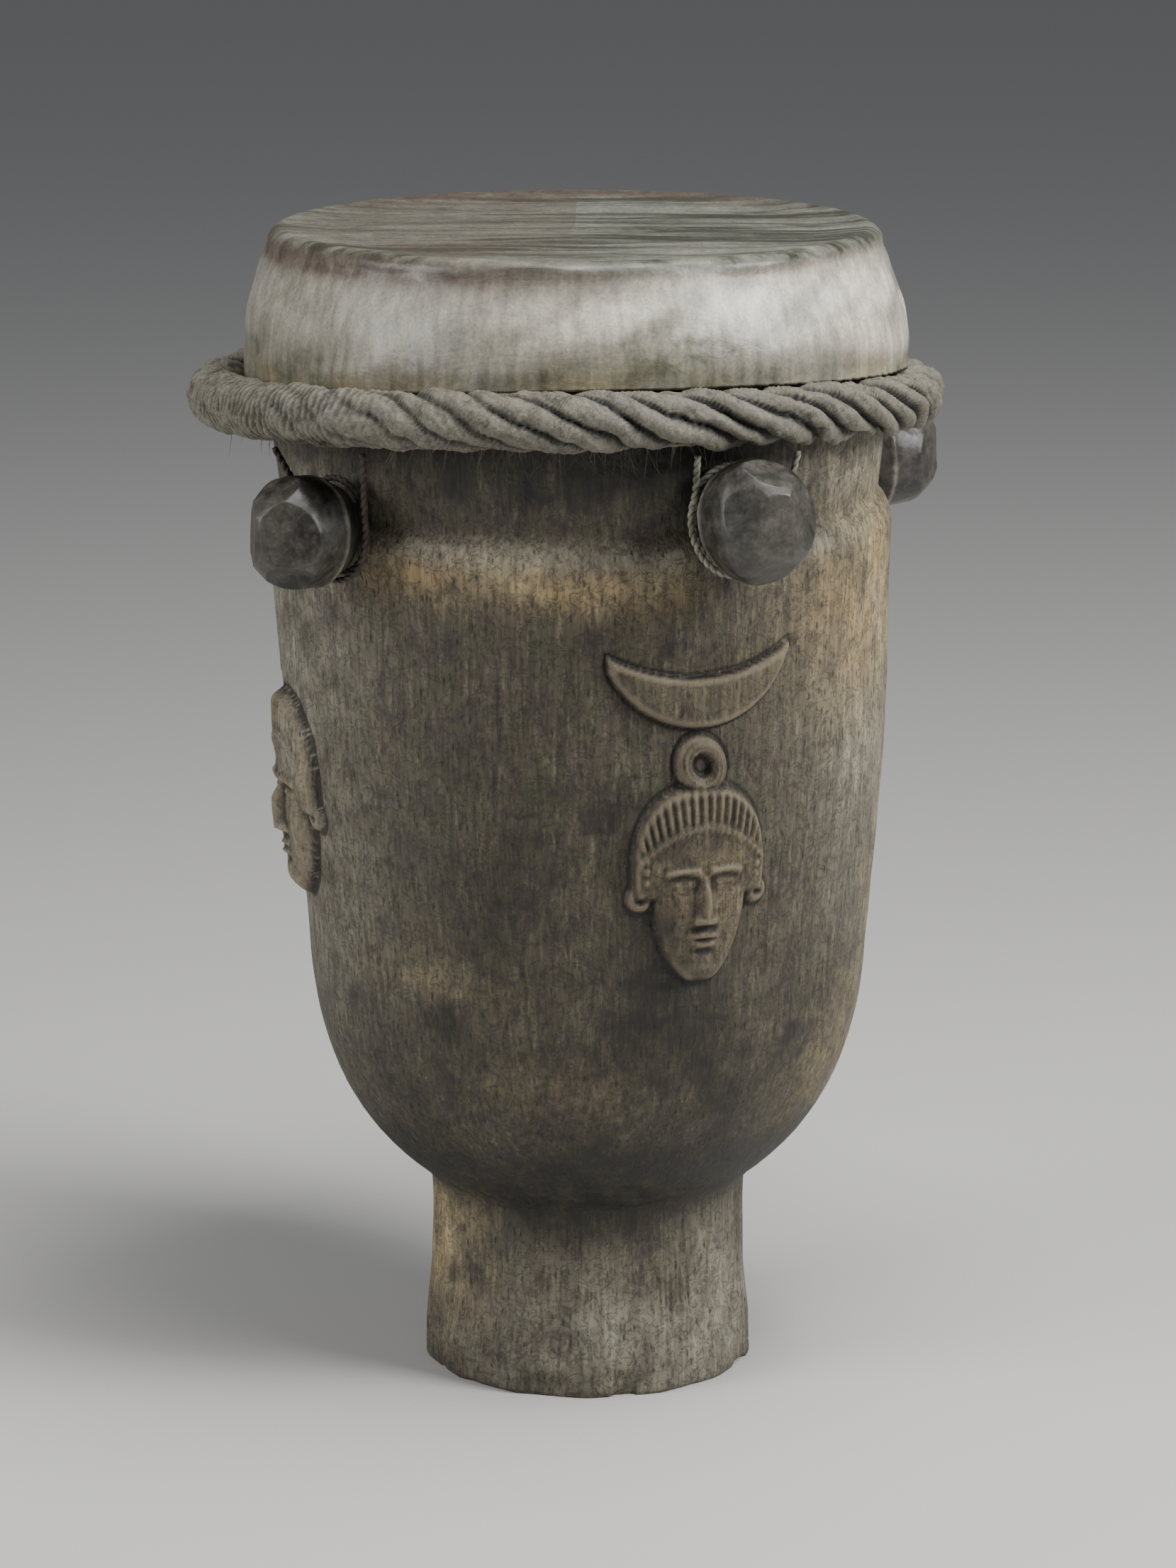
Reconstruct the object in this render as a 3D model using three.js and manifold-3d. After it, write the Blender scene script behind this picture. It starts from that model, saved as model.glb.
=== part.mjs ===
// A carved goblet drum, in millimetres, +Z up.
//
// One log makes the whole shell: a round foot, a deep rounded bowl, a shallow groove of a neck and a collar
// under the skin. Masks and a crescent stand out of its wall. A rawhide head is shrunk over the collar and
// laps onto a hoop of twisted hide, and four whittled pegs, driven through the neck, hold the hoop down with
// lashings of thin cord. The shell is hollow, and open through its foot.
//
// Angles go round the drum from its front (-Y) towards +X.

import * as THREE from "three";
import { ConvexGeometry } from "three/addons/geometries/ConvexGeometry.js";
import { mergeVertices } from "three/addons/utils/BufferGeometryUtils.js";
import Module from "manifold-3d";

// ---------- driving dimensions ----------

const HEIGHT = 500; // floor to drumhead
const FOOT = { base: 73.6, waist: 69.4, height: 84, bevel: 2, flats: 14, flatness: 0.7 };
const BELLY = { radius: 121, height: 185 }; // where the bowl turns up into the wall
const WALL = { radius: 131.6, height: 330 };
const SHOULDER = { radius: 133.6, height: 374, top: 387 };
const NECK = { radius: 127.5, top: 436, flare: 3 };
const COLLAR = { height: 456 }; // the widest line of the wood under the skin
const BORE = { base: 52, throat: 46, height: 92 };
const CHAMBER = { radius: 112.5, floor: 130 };

const HEAD = { rim: 131, widest: 142.5, widestHeight: 454, thickness: 1.8 };
const LEAN = { shift: -5.5, from: 190 }; // the log's axis drifts sideways towards the top

const HOOP = { radius: 149.2, offset: -9.6, height: 430, dip: 7, sway: 2 };
const HOOP_PLIES = [13, 12, 10.6]; // radii of one ply: its crown, its side and the groove beside it
const HOOP_TWISTS = 17;

const PEG = { shaft: 9.5, taper: 1, inner: 113.5, neck: 135 };
const PEGS = [
  { name: "left", angle: -45.5, height: 387, tilt: 0, size: 0.93, roll: 0.4 },
  { name: "front", angle: 27, height: 394, tilt: 6, size: 1, roll: 1.1 },
  { name: "right", angle: 121, height: 387, tilt: 2, size: 0.95, roll: 2.3 },
  { name: "back", angle: 216, height: 386, tilt: 1.5, size: 0.96, roll: 3.2 },
];
// A knob's rings of corners: their distance out from the neck, and their radius.
const KNOB = {
  corners: 8,
  tall: 1.14,
  uneven: 0.04,
  rings: [
    { at: 0, radius: 11.5 },
    { at: 6, radius: 17 },
    { at: 15, radius: 22 },
    { at: 32, radius: 22.5 },
    { at: 42, radius: 17 },
    { at: 48, radius: 9 },
  ],
};
const CORD = { radius: 1.5, turns: 1.5, pitch: 3.2, spread: 9.5 };

// A motif is a mask, a crest over it, or both; the crest is a looped knot under a crescent.
const MOTIFS = [
  { angle: 21.5, height: 241.5, scale: 1.03, mask: true, crest: true },
  { angle: -75, height: 261, scale: 1.07, mask: true, crest: false },
  { angle: 152, height: 243, scale: 0.95, mask: false, crest: true },
];
const CARVING_STEP = 4; // grid of the carved faces
const SUNK = 3; // depth of a patch of carving below the bare wall round it

const FIT = 0.3; // clearance between pieces that touch
const SIDES = 40; // facets round the shell and the head

// ---------- small helpers ----------

const wasm = await Module();
wasm.setup();

const radians = THREE.MathUtils.degToRad;
const smooth = THREE.MathUtils.smoothstep;

/** A point at an angle from the front, a radius and a height. */
function around(angle, radius, height) {
  return new THREE.Vector3(Math.sin(angle) * radius, -Math.cos(angle) * radius, height);
}

/** How far the leaning log's axis stands to the side at a height. */
function lean(height) {
  return LEAN.shift * smooth(height, LEAN.from, HEIGHT);
}

/** A closed three.js geometry as a manifold solid. */
function solid(geometry) {
  const bare = geometry.clone();
  bare.deleteAttribute("normal");
  bare.deleteAttribute("uv");
  const merged = mergeVertices(bare, 1e-3);
  return new wasm.Manifold(
    new wasm.Mesh({
      numProp: 3,
      vertProperties: merged.attributes.position.array,
      triVerts: new Uint32Array(merged.index.array),
    }),
  );
}

/** A manifold solid as a three.js geometry. */
function geometryOf(made) {
  const mesh = made.getMesh();
  const geometry = new THREE.BufferGeometry();
  geometry.setAttribute("position", new THREE.BufferAttribute(mesh.vertProperties, 3));
  geometry.setIndex(new THREE.BufferAttribute(mesh.triVerts, 1));
  const facets = geometry.toNonIndexed();
  facets.computeVertexNormals();
  return facets;
}

/** Moves every vertex of a geometry by a function that changes the point in place. */
function bend(geometry, move) {
  const place = geometry.attributes.position;
  const point = new THREE.Vector3();
  for (let i = 0; i < place.count; i++) {
    point.fromBufferAttribute(place, i);
    move(point);
    place.setXYZ(i, point.x, point.y, point.z);
  }
  return geometry;
}

/** A profile of radii and heights turned round the Z axis; it runs up the outside first. */
function turned(profile) {
  const start = -Math.PI / SIDES;
  return new THREE.LatheGeometry(profile, SIDES, start).rotateX(Math.PI / 2);
}

/** A profile moved sideways along its own normals, inwards for a positive distance. */
function inset(profile, distance) {
  return profile.map((point, i) => {
    const before = profile[Math.max(i - 1, 0)];
    const after = profile[Math.min(i + 1, profile.length - 1)];
    const along = after.clone().sub(before).normalize();
    return new THREE.Vector2(Math.max(point.x - along.y * distance, 0), point.y + along.x * distance);
  });
}

// ---------- the shell ----------

/** The head's outside, from its lower edge up over the rim to the axis. */
function headOutline() {
  const line = new THREE.Path();
  line.moveTo(HEAD.widest, 446);
  line.lineTo(HEAD.widest, HEAD.widestHeight);
  line.bezierCurveTo(HEAD.widest - 1, 468, HEAD.rim + 4, 482, HEAD.rim, HEIGHT - 7);
  line.quadraticCurveTo(HEAD.rim - 1.5, HEIGHT, HEAD.rim - 8, HEIGHT);
  return line.getPoints(3);
}

/** The outside of the bowl's wall, from the foot to the top of the shoulder. */
function wallOutline() {
  const line = new THREE.Path();
  line.moveTo(FOOT.waist, FOOT.height);
  line.bezierCurveTo(97, 104, 117, 130, BELLY.radius, BELLY.height);
  line.bezierCurveTo(122.5, 215, 131, 270, WALL.radius, WALL.height);
  line.lineTo(SHOULDER.radius, SHOULDER.height);
  line.quadraticCurveTo(SHOULDER.radius - 1, SHOULDER.top - 3, NECK.radius, SHOULDER.top);
  return line.getPoints(4);
}

/** Radius of the wall's outside at a height, without the lean. */
const WALL_LINE = wallOutline();
function wallRadius(height) {
  const i = Math.max(WALL_LINE.findIndex((p) => p.y >= height), 1);
  const [low, high] = [WALL_LINE[i - 1], WALL_LINE[i]];
  return THREE.MathUtils.mapLinear(height, low.y, high.y, low.x, high.x);
}

/** The inside, from the rim down the chamber and out through the foot. */
function chamberOutline(rimHeight) {
  const line = new THREE.Path();
  line.moveTo(CHAMBER.radius, rimHeight);
  line.lineTo(CHAMBER.radius, WALL.height - 20);
  line.bezierCurveTo(CHAMBER.radius, 250, 107, 200, 102, 176);
  line.bezierCurveTo(96, 148, 80, CHAMBER.floor - 10, BORE.throat, BORE.height);
  line.lineTo(BORE.base, 0);
  return line.getPoints(3);
}

/** Flats left by the adze round the foot: the polygon's radius over the circle's. */
function footFlat(angle, height) {
  const side = (2 * Math.PI) / FOOT.flats;
  const across = THREE.MathUtils.euclideanModulo(angle, side) - side / 2;
  const polygon = Math.cos(side / 2) / Math.cos(across);
  const share = FOOT.flatness * (1 - smooth(height, FOOT.height - 16, FOOT.height + 4));
  return THREE.MathUtils.lerp(1, polygon, share);
}

function shellBlank() {
  const underSkin = inset(headOutline(), HEAD.thickness + FIT).filter((p) => p.y >= COLLAR.height - 4);
  const rim = underSkin.at(-1);
  const outside = [
    new THREE.Vector2(FOOT.base - FOOT.bevel, 0),
    new THREE.Vector2(FOOT.base, FOOT.bevel * 2),
    new THREE.Vector2(FOOT.base, FOOT.bevel * 7),
    new THREE.Vector2(FOOT.waist + 1, FOOT.height / 2),
    ...WALL_LINE,
    new THREE.Vector2(NECK.radius + NECK.flare, SHOULDER.top + 22),
    new THREE.Vector2(NECK.radius + NECK.flare, NECK.top),
    ...underSkin,
  ];
  const loop = [...outside, ...chamberOutline(rim.y)];
  const blank = turned([...loop, loop[0]]);
  return bend(blank, (p) => {
    const radius = Math.hypot(p.x, p.y);
    const nearFoot = radius > BORE.base + 1;
    if (nearFoot) {
      const flat = footFlat(Math.atan2(p.x, -p.y), p.z);
      p.x *= flat;
      p.y *= flat;
    }
    p.x += lean(p.z);
  });
}

// ---------- carving on the shell ----------

const hill = (distance, width) => Math.exp(-((distance / width) ** 2));

/** Height of a shape that rises from its edge to a rounded top; inside is the distance in from the edge. */
function raised(inside, lift) {
  return lift * Math.tanh((1.3 * inside) / lift);
}

/** A crescent with its horns up, 83 wide and 22 deep, hung below the origin. */
function crescent(u, v) {
  const lower = 42.3 - Math.hypot(u, v - 20.3);
  const upper = Math.hypot(u, v - 77.8) - 77.8;
  return raised(Math.min(lower, upper), 4.5);
}

/** A looped knot of hair: a raised ring. */
function knot(u, v) {
  return raised(4.2 - Math.abs(Math.hypot(u, v * 0.85) - 7.5), 4);
}

/** The brows, eyes, nose, mouth and chin of the face, as heights over its plain oval. */
function features(u, v) {
  const across = Math.abs(u);
  const brow = 1.2 * hill(v - 7 + (across - 8) ** 2 / 60, 2.6) * hill(across - 9, 9);
  const socket = -1.8 * hill(v - 1, 3.2) * hill(across - 9, 5);
  const lid = 1.3 * hill(v - 0.5, 2.2) * hill(across - 9, 4);
  const nose = 3.4 * smooth(6 - v, 0, 6) * smooth(v + 16, 0, 3) * hill(u, 2.6 + (6 - v) * 0.07);
  const mouth = 1.8 * hill(v + 22, 2.6) * hill(u, 6);
  const chin = hill(v + 34, 4.5) * hill(u, 8);
  return brow + socket + lid + nose + mouth + chin;
}

/** A calm, plain mask face under a domed coiffure, 84 high from the crown to the chin. */
function mask(u, v) {
  const across = Math.abs(u);
  const dome = 1 - ((across / 30) ** 2.5 + (Math.abs(v - 4) / 38) ** 2.5) ** 0.4;
  const coiffure = raised(Math.min(dome * 28, v + 7), 5.5) + 1.5 * Math.max(dome, 0);
  const jaw = v > 0 ? 21.5 : 21.5 * Math.max(1 - (v / 42) ** 2, 0) ** 0.45;
  const forehead = 19 - (across / 21.5) ** 2 * 9 - v;
  const inside = Math.min(jaw - across, v + 42, forehead + 1);
  const oval = raised(inside, 6) + 1.6 * hill(u, 17) * hill(v + 14, 28);
  const face = oval + smooth(inside, 0.5, 3) * features(u, v);
  const lobe = raised(6 - Math.hypot(across - 26.5, v + 6), 3.8);
  return Math.max(coiffure, face, lobe);
}

/** Height of a motif over the wall; below it where the wall is bare. */
function motifHeight(motif, u, v) {
  const head = motif.mask ? mask(u, v) : -SUNK;
  const crest = motif.crest ? Math.max(knot(u, v - 49), crescent(u, v - 86)) : -SUNK;
  return Math.max(head, crest, -SUNK);
}

/** A patch of carving laid on the wall: the part of it that stands above the wall shows. */
function carving(motif) {
  const top = motif.crest ? 103 : 45;
  const bottom = motif.mask ? -46 : 34;
  const half = motif.crest ? 44 : 36;
  const columns = Math.ceil((2 * half * motif.scale) / CARVING_STEP);
  const rows = Math.ceil(((top - bottom) * motif.scale) / CARVING_STEP);
  const patch = new THREE.BoxGeometry(2 * half, top - bottom, 1, columns, rows, 1);
  return bend(patch.translate(0, (top + bottom) / 2, 0), (p) => {
    const lift = p.z > 0 ? motifHeight(motif, p.x, p.y) : -3 * SUNK;
    const height = motif.height + p.y * motif.scale;
    const angle = radians(motif.angle) + (p.x * motif.scale) / WALL.radius;
    p.copy(around(angle, wallRadius(height) + lift * motif.scale, height));
    p.x += lean(height);
  });
}

// ---------- pegs and their lashings ----------

/** The frame of a peg: X round the drum, Y up along the wall, Z out along the shaft. */
function pegFrame(peg) {
  const angle = radians(peg.angle);
  const out = around(angle, 1, Math.tan(radians(peg.tilt))).normalize();
  const side = new THREE.Vector3(Math.cos(angle), Math.sin(angle), 0);
  const up = new THREE.Vector3().crossVectors(out, side);
  const rise = NECK.radius * Math.tan(radians(peg.tilt));
  const centre = new THREE.Vector3(lean(peg.height), 0, peg.height - rise);
  return new THREE.Matrix4().makeBasis(side, up, out).setPosition(centre);
}

function shaft(peg, extra) {
  const from = PEG.inner;
  const to = PEG.neck + 8;
  return new THREE.CylinderGeometry(PEG.shaft + extra, PEG.shaft - PEG.taper + extra, to - from + extra * 2, 10)
    .rotateX(Math.PI / 2)
    .translate(0, 0, (from + to) / 2)
    .applyMatrix4(pegFrame(peg));
}

/** A knob whittled in flats: the hull of its uneven rings of corners. */
function knob(peg) {
  const points = KNOB.rings.flatMap((ring, k) =>
    Array.from({ length: KNOB.corners }, (_, i) => {
      const turn = (2 * Math.PI * i) / KNOB.corners + peg.roll;
      const uneven = 1 + KNOB.uneven * Math.sin(5.3 * i + 2.1 * k + peg.roll * 7);
      const radius = ring.radius * peg.size * uneven;
      return new THREE.Vector3(Math.cos(turn) * radius, Math.sin(turn) * radius * KNOB.tall, PEG.neck + ring.at);
    }),
  );
  return new ConvexGeometry(points).applyMatrix4(pegFrame(peg));
}

/** Radius and height of the hoop's centre line at an angle. */
function hoopLine(angle) {
  return {
    radius: HOOP.radius + HOOP.offset * Math.sin(angle),
    height: HOOP.height + HOOP.dip * Math.cos(angle) + HOOP.sway * Math.cos(2 * angle),
  };
}

/** A point of the hoop's underside, beside a peg. */
function underHoop(angle) {
  const line = hoopLine(angle);
  return around(angle, line.radius, line.height - HOOP_PLIES[0] - CORD.radius - FIT);
}

/** The cord from the hoop, round the flared neck of the knob and back to the hoop. */
function lashing(peg) {
  const frame = pegFrame(peg);
  const [narrow, wide] = KNOB.rings;
  const flare = (wide.radius - narrow.radius) / (wide.at - narrow.at);
  const lift = (CORD.radius + FIT) * Math.hypot(1, flare) + 0.8;
  const turnSteps = 8;
  const turnCount = CORD.turns * turnSteps;
  const coil = Array.from({ length: turnCount + 1 }, (_, i) => {
    const turn = Math.PI + (2 * Math.PI * i) / turnSteps;
    const at = CORD.radius + (CORD.pitch * i) / turnSteps;
    const ring = (narrow.radius + flare * at) * peg.size * (1 + KNOB.uneven) + lift;
    const point = new THREE.Vector3(Math.cos(turn) * ring, Math.sin(turn) * ring * KNOB.tall, PEG.neck + at);
    return point.applyMatrix4(frame);
  });
  const ends = [-1, 1].map((side) => underHoop(radians(peg.angle + side * CORD.spread)));
  const route = new THREE.CatmullRomCurve3([
    ends[0],
    ends[0].clone().lerp(coil[0], 0.5),
    ...coil,
    ends[1].clone().lerp(coil.at(-1), 0.5),
    ends[1],
  ]);
  const section = new THREE.Shape().absarc(0, 0, CORD.radius, 0, 2 * Math.PI);
  return new THREE.ExtrudeGeometry(new THREE.Shape(section.getSpacedPoints(5).slice(0, 5)), {
    steps: 24,
    extrudePath: route,
  });
}

// ---------- the head and the hoop ----------

/** Lowest height of the skin at an angle, where it meets the top of the hoop. */
function hemHeight(angle) {
  const line = hoopLine(angle);
  const skin = HEAD.widest + lean(HEAD.widestHeight) * Math.sin(angle);
  const aside = line.radius - skin;
  return line.height + Math.sqrt((HOOP_PLIES[0] + 0.3) ** 2 - aside ** 2) + FIT + 0.4;
}

function drumhead() {
  const outside = headOutline();
  const inside = inset(outside, HEAD.thickness).reverse();
  const hem = outside[0].y;
  const loop = [...outside, new THREE.Vector2(0, HEIGHT), new THREE.Vector2(0, HEIGHT - HEAD.thickness), ...inside];
  return bend(turned([...loop, loop[0]]), (p) => {
    const edge = 1 - smooth(p.z, hem, hem + 4);
    p.z += edge * (hemHeight(Math.atan2(p.x, -p.y)) - hem);
    p.x += lean(p.z);
  });
}

/** A closed rope of two plies, their crowns running round it in a screw. */
function hoop() {
  const sides = HOOP_PLIES.length * 2;
  const steps = HOOP_TWISTS * sides;
  const corners = [];
  for (let i = 0; i < steps; i++) {
    const angle = (2 * Math.PI * i) / steps;
    const line = hoopLine(angle);
    for (let j = 0; j < sides; j++) {
      const turn = (2 * Math.PI * j) / sides;
      const ply = HOOP_PLIES[(i + j) % HOOP_PLIES.length];
      const corner = around(angle, line.radius + Math.cos(turn) * ply, line.height + Math.sin(turn) * ply);
      corners.push(...corner.toArray());
    }
  }
  const faces = [];
  for (let i = 0; i < steps; i++) {
    const next = (i + 1) % steps;
    for (let j = 0; j < sides; j++) {
      const beside = (j + 1) % sides;
      const [a, b] = [i * sides + j, i * sides + beside];
      const [c, d] = [next * sides + beside, next * sides + j];
      faces.push(a, d, b, b, d, c);
    }
  }
  const geometry = new THREE.BufferGeometry();
  geometry.setAttribute("position", new THREE.Float32BufferAttribute(corners, 3));
  return geometry.setIndex(faces);
}

// ---------- the drum ----------

const finishes = {
  wood: new THREE.MeshStandardMaterial({ color: 0x5b4a36, roughness: 0.85, metalness: 0 }),
  peg: new THREE.MeshStandardMaterial({ color: 0x35322d, roughness: 0.6, metalness: 0 }),
  skin: new THREE.MeshStandardMaterial({ color: 0x9a9484, roughness: 0.55, metalness: 0 }),
  hide: new THREE.MeshStandardMaterial({ color: 0x5c5846, roughness: 0.8, metalness: 0 }),
  cord: new THREE.MeshStandardMaterial({ color: 0x4a4436, roughness: 0.85, metalness: 0 }),
};

function carvedShell() {
  let wood = solid(shellBlank());
  for (const motif of MOTIFS) wood = wood.add(solid(carving(motif)));
  for (const peg of PEGS) wood = wood.subtract(solid(shaft(peg, FIT)));
  return geometryOf(wood);
}

function piece(name, geometry, finish) {
  const mesh = new THREE.Mesh(geometry, finish);
  mesh.name = name;
  return mesh;
}

const drum = new THREE.Group();
drum.add(piece("drum_shell", carvedShell(), finishes.wood));
drum.add(piece("drumhead", drumhead(), finishes.skin));
drum.add(piece("tension_hoop", hoop(), finishes.hide));
for (const peg of PEGS) {
  drum.add(piece(`peg_${peg.name}`, geometryOf(solid(shaft(peg, 0)).add(solid(knob(peg)))), finishes.peg));
  drum.add(piece(`lashing_${peg.name}`, lashing(peg), finishes.cord));
}

/** The origin is on the floor, under the middle of the whole drum. */
const middle = new THREE.Box3().setFromObject(drum).getCenter(new THREE.Vector3());
drum.position.set(-middle.x, -middle.y, 0);

export default drum;
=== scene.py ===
"""A carved goblet drum, dressed over its solid frame: metres, +Z up, the front at -Y."""

import math

import bmesh
import bpy
import numpy as np
from mathutils import Matrix, Vector, noise


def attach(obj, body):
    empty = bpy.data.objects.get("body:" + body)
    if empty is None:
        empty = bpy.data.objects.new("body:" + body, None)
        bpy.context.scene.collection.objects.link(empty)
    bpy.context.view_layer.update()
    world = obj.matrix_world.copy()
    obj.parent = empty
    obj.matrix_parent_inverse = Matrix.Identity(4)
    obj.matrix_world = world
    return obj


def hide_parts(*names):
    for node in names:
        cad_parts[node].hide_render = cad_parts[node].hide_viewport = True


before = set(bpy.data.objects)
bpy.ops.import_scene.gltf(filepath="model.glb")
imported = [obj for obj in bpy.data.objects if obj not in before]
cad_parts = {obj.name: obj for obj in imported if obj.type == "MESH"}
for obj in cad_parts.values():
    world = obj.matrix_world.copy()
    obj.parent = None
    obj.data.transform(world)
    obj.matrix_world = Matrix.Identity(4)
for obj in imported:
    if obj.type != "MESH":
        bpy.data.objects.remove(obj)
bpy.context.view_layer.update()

# ---------- The studio ----------
# A long lens looks a little down on the drum from the front. Soft lights stand to its right and left and hang
# over it, above a plain pale floor.

MM = 0.001
UNDERSIDE = [v.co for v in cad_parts["drum_shell"].data.vertices if v.co.z < 0.5 * MM]
AXIS_X = (min(p.x for p in UNDERSIDE) + max(p.x for p in UNDERSIDE)) / 2
AXIS_Y = (min(p.y for p in UNDERSIDE) + max(p.y for p in UNDERSIDE)) / 2

LENS, CAMERA_DISTANCE, CAMERA_HEIGHT, LOOK_DOWN = 118.4, 2.182, 0.7645, 13.12
LIT_HEIGHT = 0.3
FLOOR_REACH = 20


def set_out(name, data):
    """A new object that stands in the scene."""
    thing = bpy.data.objects.new(name, data)
    bpy.context.scene.collection.objects.link(thing)
    return thing


camera = set_out("camera", bpy.data.cameras.new("camera"))
camera.data.lens = LENS
camera.data.clip_end = 100
camera.location = (AXIS_X, AXIS_Y - CAMERA_DISTANCE, CAMERA_HEIGHT)
camera.rotation_euler = (math.radians(90 - LOOK_DOWN), 0, 0)
bpy.context.scene.camera = camera


def softbox(name, place, size, watts):
    """A square area light that faces the middle of the drum."""
    lamp = bpy.data.lights.new(name, "AREA")
    lamp.shape = "SQUARE"
    lamp.size = size
    lamp.energy = watts
    box = set_out(name, lamp)
    box.location = place
    aim = Vector((0, 0, LIT_HEIGHT)) - Vector(place)
    box.rotation_euler = aim.to_track_quat("-Z", "Y").to_euler()


softbox("right_light", (1.55, -0.75, 1.35), 0.7, 40)
softbox("left_light", (-1.7, -0.8, 1.0), 0.9, 22)
softbox("top_light", (0.35, -0.35, 1.9), 0.8, 26)

sky = bpy.data.worlds.new("studio")
sky.use_nodes = True
sky_glow = sky.node_tree.nodes["Background"]
sky_glow.inputs["Color"].default_value = (0.9, 0.93, 1, 1)
sky_glow.inputs["Strength"].default_value = 0.16
bpy.context.scene.world = sky

floor_mesh = bpy.data.meshes.new("floor")
floor_corners = [(x * FLOOR_REACH, y * FLOOR_REACH, 0) for x, y in ((-1, -1), (1, -1), (1, 1), (-1, 1))]
floor_mesh.from_pydata(floor_corners, [], [(0, 1, 2, 3)])
floor = set_out("floor", floor_mesh)
floor_finish = bpy.data.materials.new("pale_floor")
floor_finish.use_nodes = True
floor_shader = floor_finish.node_tree.nodes["Principled BSDF"]
floor_shader.inputs["Base Color"].default_value = (0.62, 0.61, 0.59, 1)
floor_shader.inputs["Roughness"].default_value = 0.75
floor_mesh.materials.append(floor_finish)

# ---------- The shell ----------
# One log, hollowed out with a gouge: foot, deep bowl, shoulder, neck and collar, with the masks and the
# crescents left standing out of its wall. Smoke, hands and dust have darkened it, and its shoulder is worn to
# bare wood. Its colour also holds painted shade under the bowl, down the front, on the neck and in the carved
# hollows, and painted light on its flanks, along its shoulder and on the carved ridges.

HEIGHT = 500.0
FOOT_BASE, FOOT_WAIST, FOOT_HEIGHT = 73.6, 69.4, 84.0
BELLY_RADIUS, BELLY_HEIGHT = 121.0, 185.0
WALL_RADIUS, WALL_HEIGHT = 131.6, 330.0
SHOULDER_RADIUS, SHOULDER_HEIGHT, SHOULDER_TOP = 133.6, 374.0, 387.0
NECK_RADIUS, NECK_TOP, NECK_FLARE = 127.5, 436.0, 3.0
CHAMBER_RADIUS = 112.5
BORE_BASE, BORE_THROAT, BORE_HEIGHT = 52.0, 46.0, 92.0
HEAD_RIM, HEAD_WIDEST, HEAD_THICKNESS = 131.0, 142.5, 1.8
SKIRT_HEIGHT, WIDEST_HEIGHT = 446, 454
LEAN, LEAN_FROM = 5.5, 190
KNOT_RISE, CRESCENT_RISE = 49, 86
FACE_WIDTH, FACE_LENGTH, COMB_PITCH = 21.5, 42, 2.9
BRAID_RISE, SUNK = 4.6, -3.0
FOOT_SIDES = 14
MOTIFS = (
    {"angle": 21.5, "height": 241.5, "scale": 1.03, "mask": True, "crest": True},
    {"angle": -75.0, "height": 261.0, "scale": 1.07, "mask": True, "crest": False},
    {"angle": 152.0, "height": 243.0, "scale": 0.95, "mask": False, "crest": True},
)


def smooth(value, low, high):
    """0 below low, 1 above high, and an even slope between them."""
    share = np.clip((value - low) / (high - low), 0, 1)
    return share * share * (3 - 2 * share)


def hill(value, width):
    return np.exp(-((value / width) ** 2))


def turn_between(angle, middle):
    """The turn from middle to angle, in degrees, from -180 to 180."""
    return (angle - middle + 180) % 360 - 180


def bezier(*controls, count=24):
    """Points along a curve of three or four control points."""
    t = np.linspace(0, 1, count)[:, None]
    order = len(controls) - 1
    weights = [math.comb(order, k) * t**k * (1 - t) ** (order - k) for k in range(order + 1)]
    return sum(weight * np.array(point) for weight, point in zip(weights, controls))


def lumps(points, size, seed=0.0):
    """Soft noise from -1 to 1 at points given in millimetres, its lumps about size across."""
    shift = Vector((seed * 13.7, seed * -7.3, seed * 5.1))
    heights = [noise.noise(Vector(p) / size + shift) for p in points.reshape(-1, 3)]
    return np.array(heights).reshape(points.shape[:-1])


def spaced(low, high, count, closeness):
    """Values from low to high, closer together where closeness is large."""
    fine = np.linspace(low, high, 4000)
    weight = np.cumsum(closeness(fine))
    return np.interp(np.linspace(weight[0], weight[-1], count), weight, fine)


def lean(height):
    """The log's axis drifts to the left above the belly."""
    return -LEAN * smooth(height, LEAN_FROM, HEIGHT)


def placed(angle, radius, height):
    """Metres in the drum's frame from degrees round it and millimetres from its axis and the floor."""
    turn = np.radians(angle)
    x = np.sin(turn) * radius + lean(height)
    y = -np.cos(turn) * radius
    return np.stack(np.broadcast_arrays(AXIS_X + x * MM, AXIS_Y + y * MM, height * MM), -1)


def skin_of_quads(name, grid, joined_rows=False):
    """A smooth closed mesh through a grid of points. Its columns go round and meet. Its rows meet too, or end
    in a face at each end. Rows that climb while columns go round to the right face outwards."""
    rows, columns = grid.shape[:2]
    last = rows if joined_rows else rows - 1
    row, column = np.meshgrid(np.arange(last), np.arange(columns), indexing="ij")
    above = (row + 1) % rows
    beside = (column + 1) % columns
    corners = ((row, column), (row, beside), (above, beside), (above, column))
    faces = np.stack([r * columns + c for r, c in corners], -1).reshape(-1, 4).tolist()
    if not joined_rows:
        faces.append(list(range(columns))[::-1])
        faces.append(list(range((rows - 1) * columns, rows * columns)))
    mesh = bpy.data.meshes.new(name)
    mesh.from_pydata(grid.reshape(-1, 3).tolist(), [], faces)
    mesh.shade_smooth()
    return set_out(name, mesh)


def paint_mask(piece, name, values):
    """A share from 0 to 1 at each point of a piece, for its finish to read."""
    layer = piece.data.attributes.new(name, "FLOAT", "POINT")
    layer.data.foreach_set("value", np.clip(values, 0, 1).astype(np.float32).ravel())


def head_outline():
    widest, edge_start = (HEAD_WIDEST, WIDEST_HEIGHT), (HEAD_RIM, HEIGHT - 7)
    side = bezier(widest, (HEAD_WIDEST - 1, 468), (HEAD_RIM + 4, 482), edge_start)
    edge = bezier(edge_start, (HEAD_RIM - 1.5, HEIGHT), (HEAD_RIM - 8, HEIGHT))
    return np.vstack([[(HEAD_WIDEST, SKIRT_HEIGHT)], side, edge[1:]])


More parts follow.
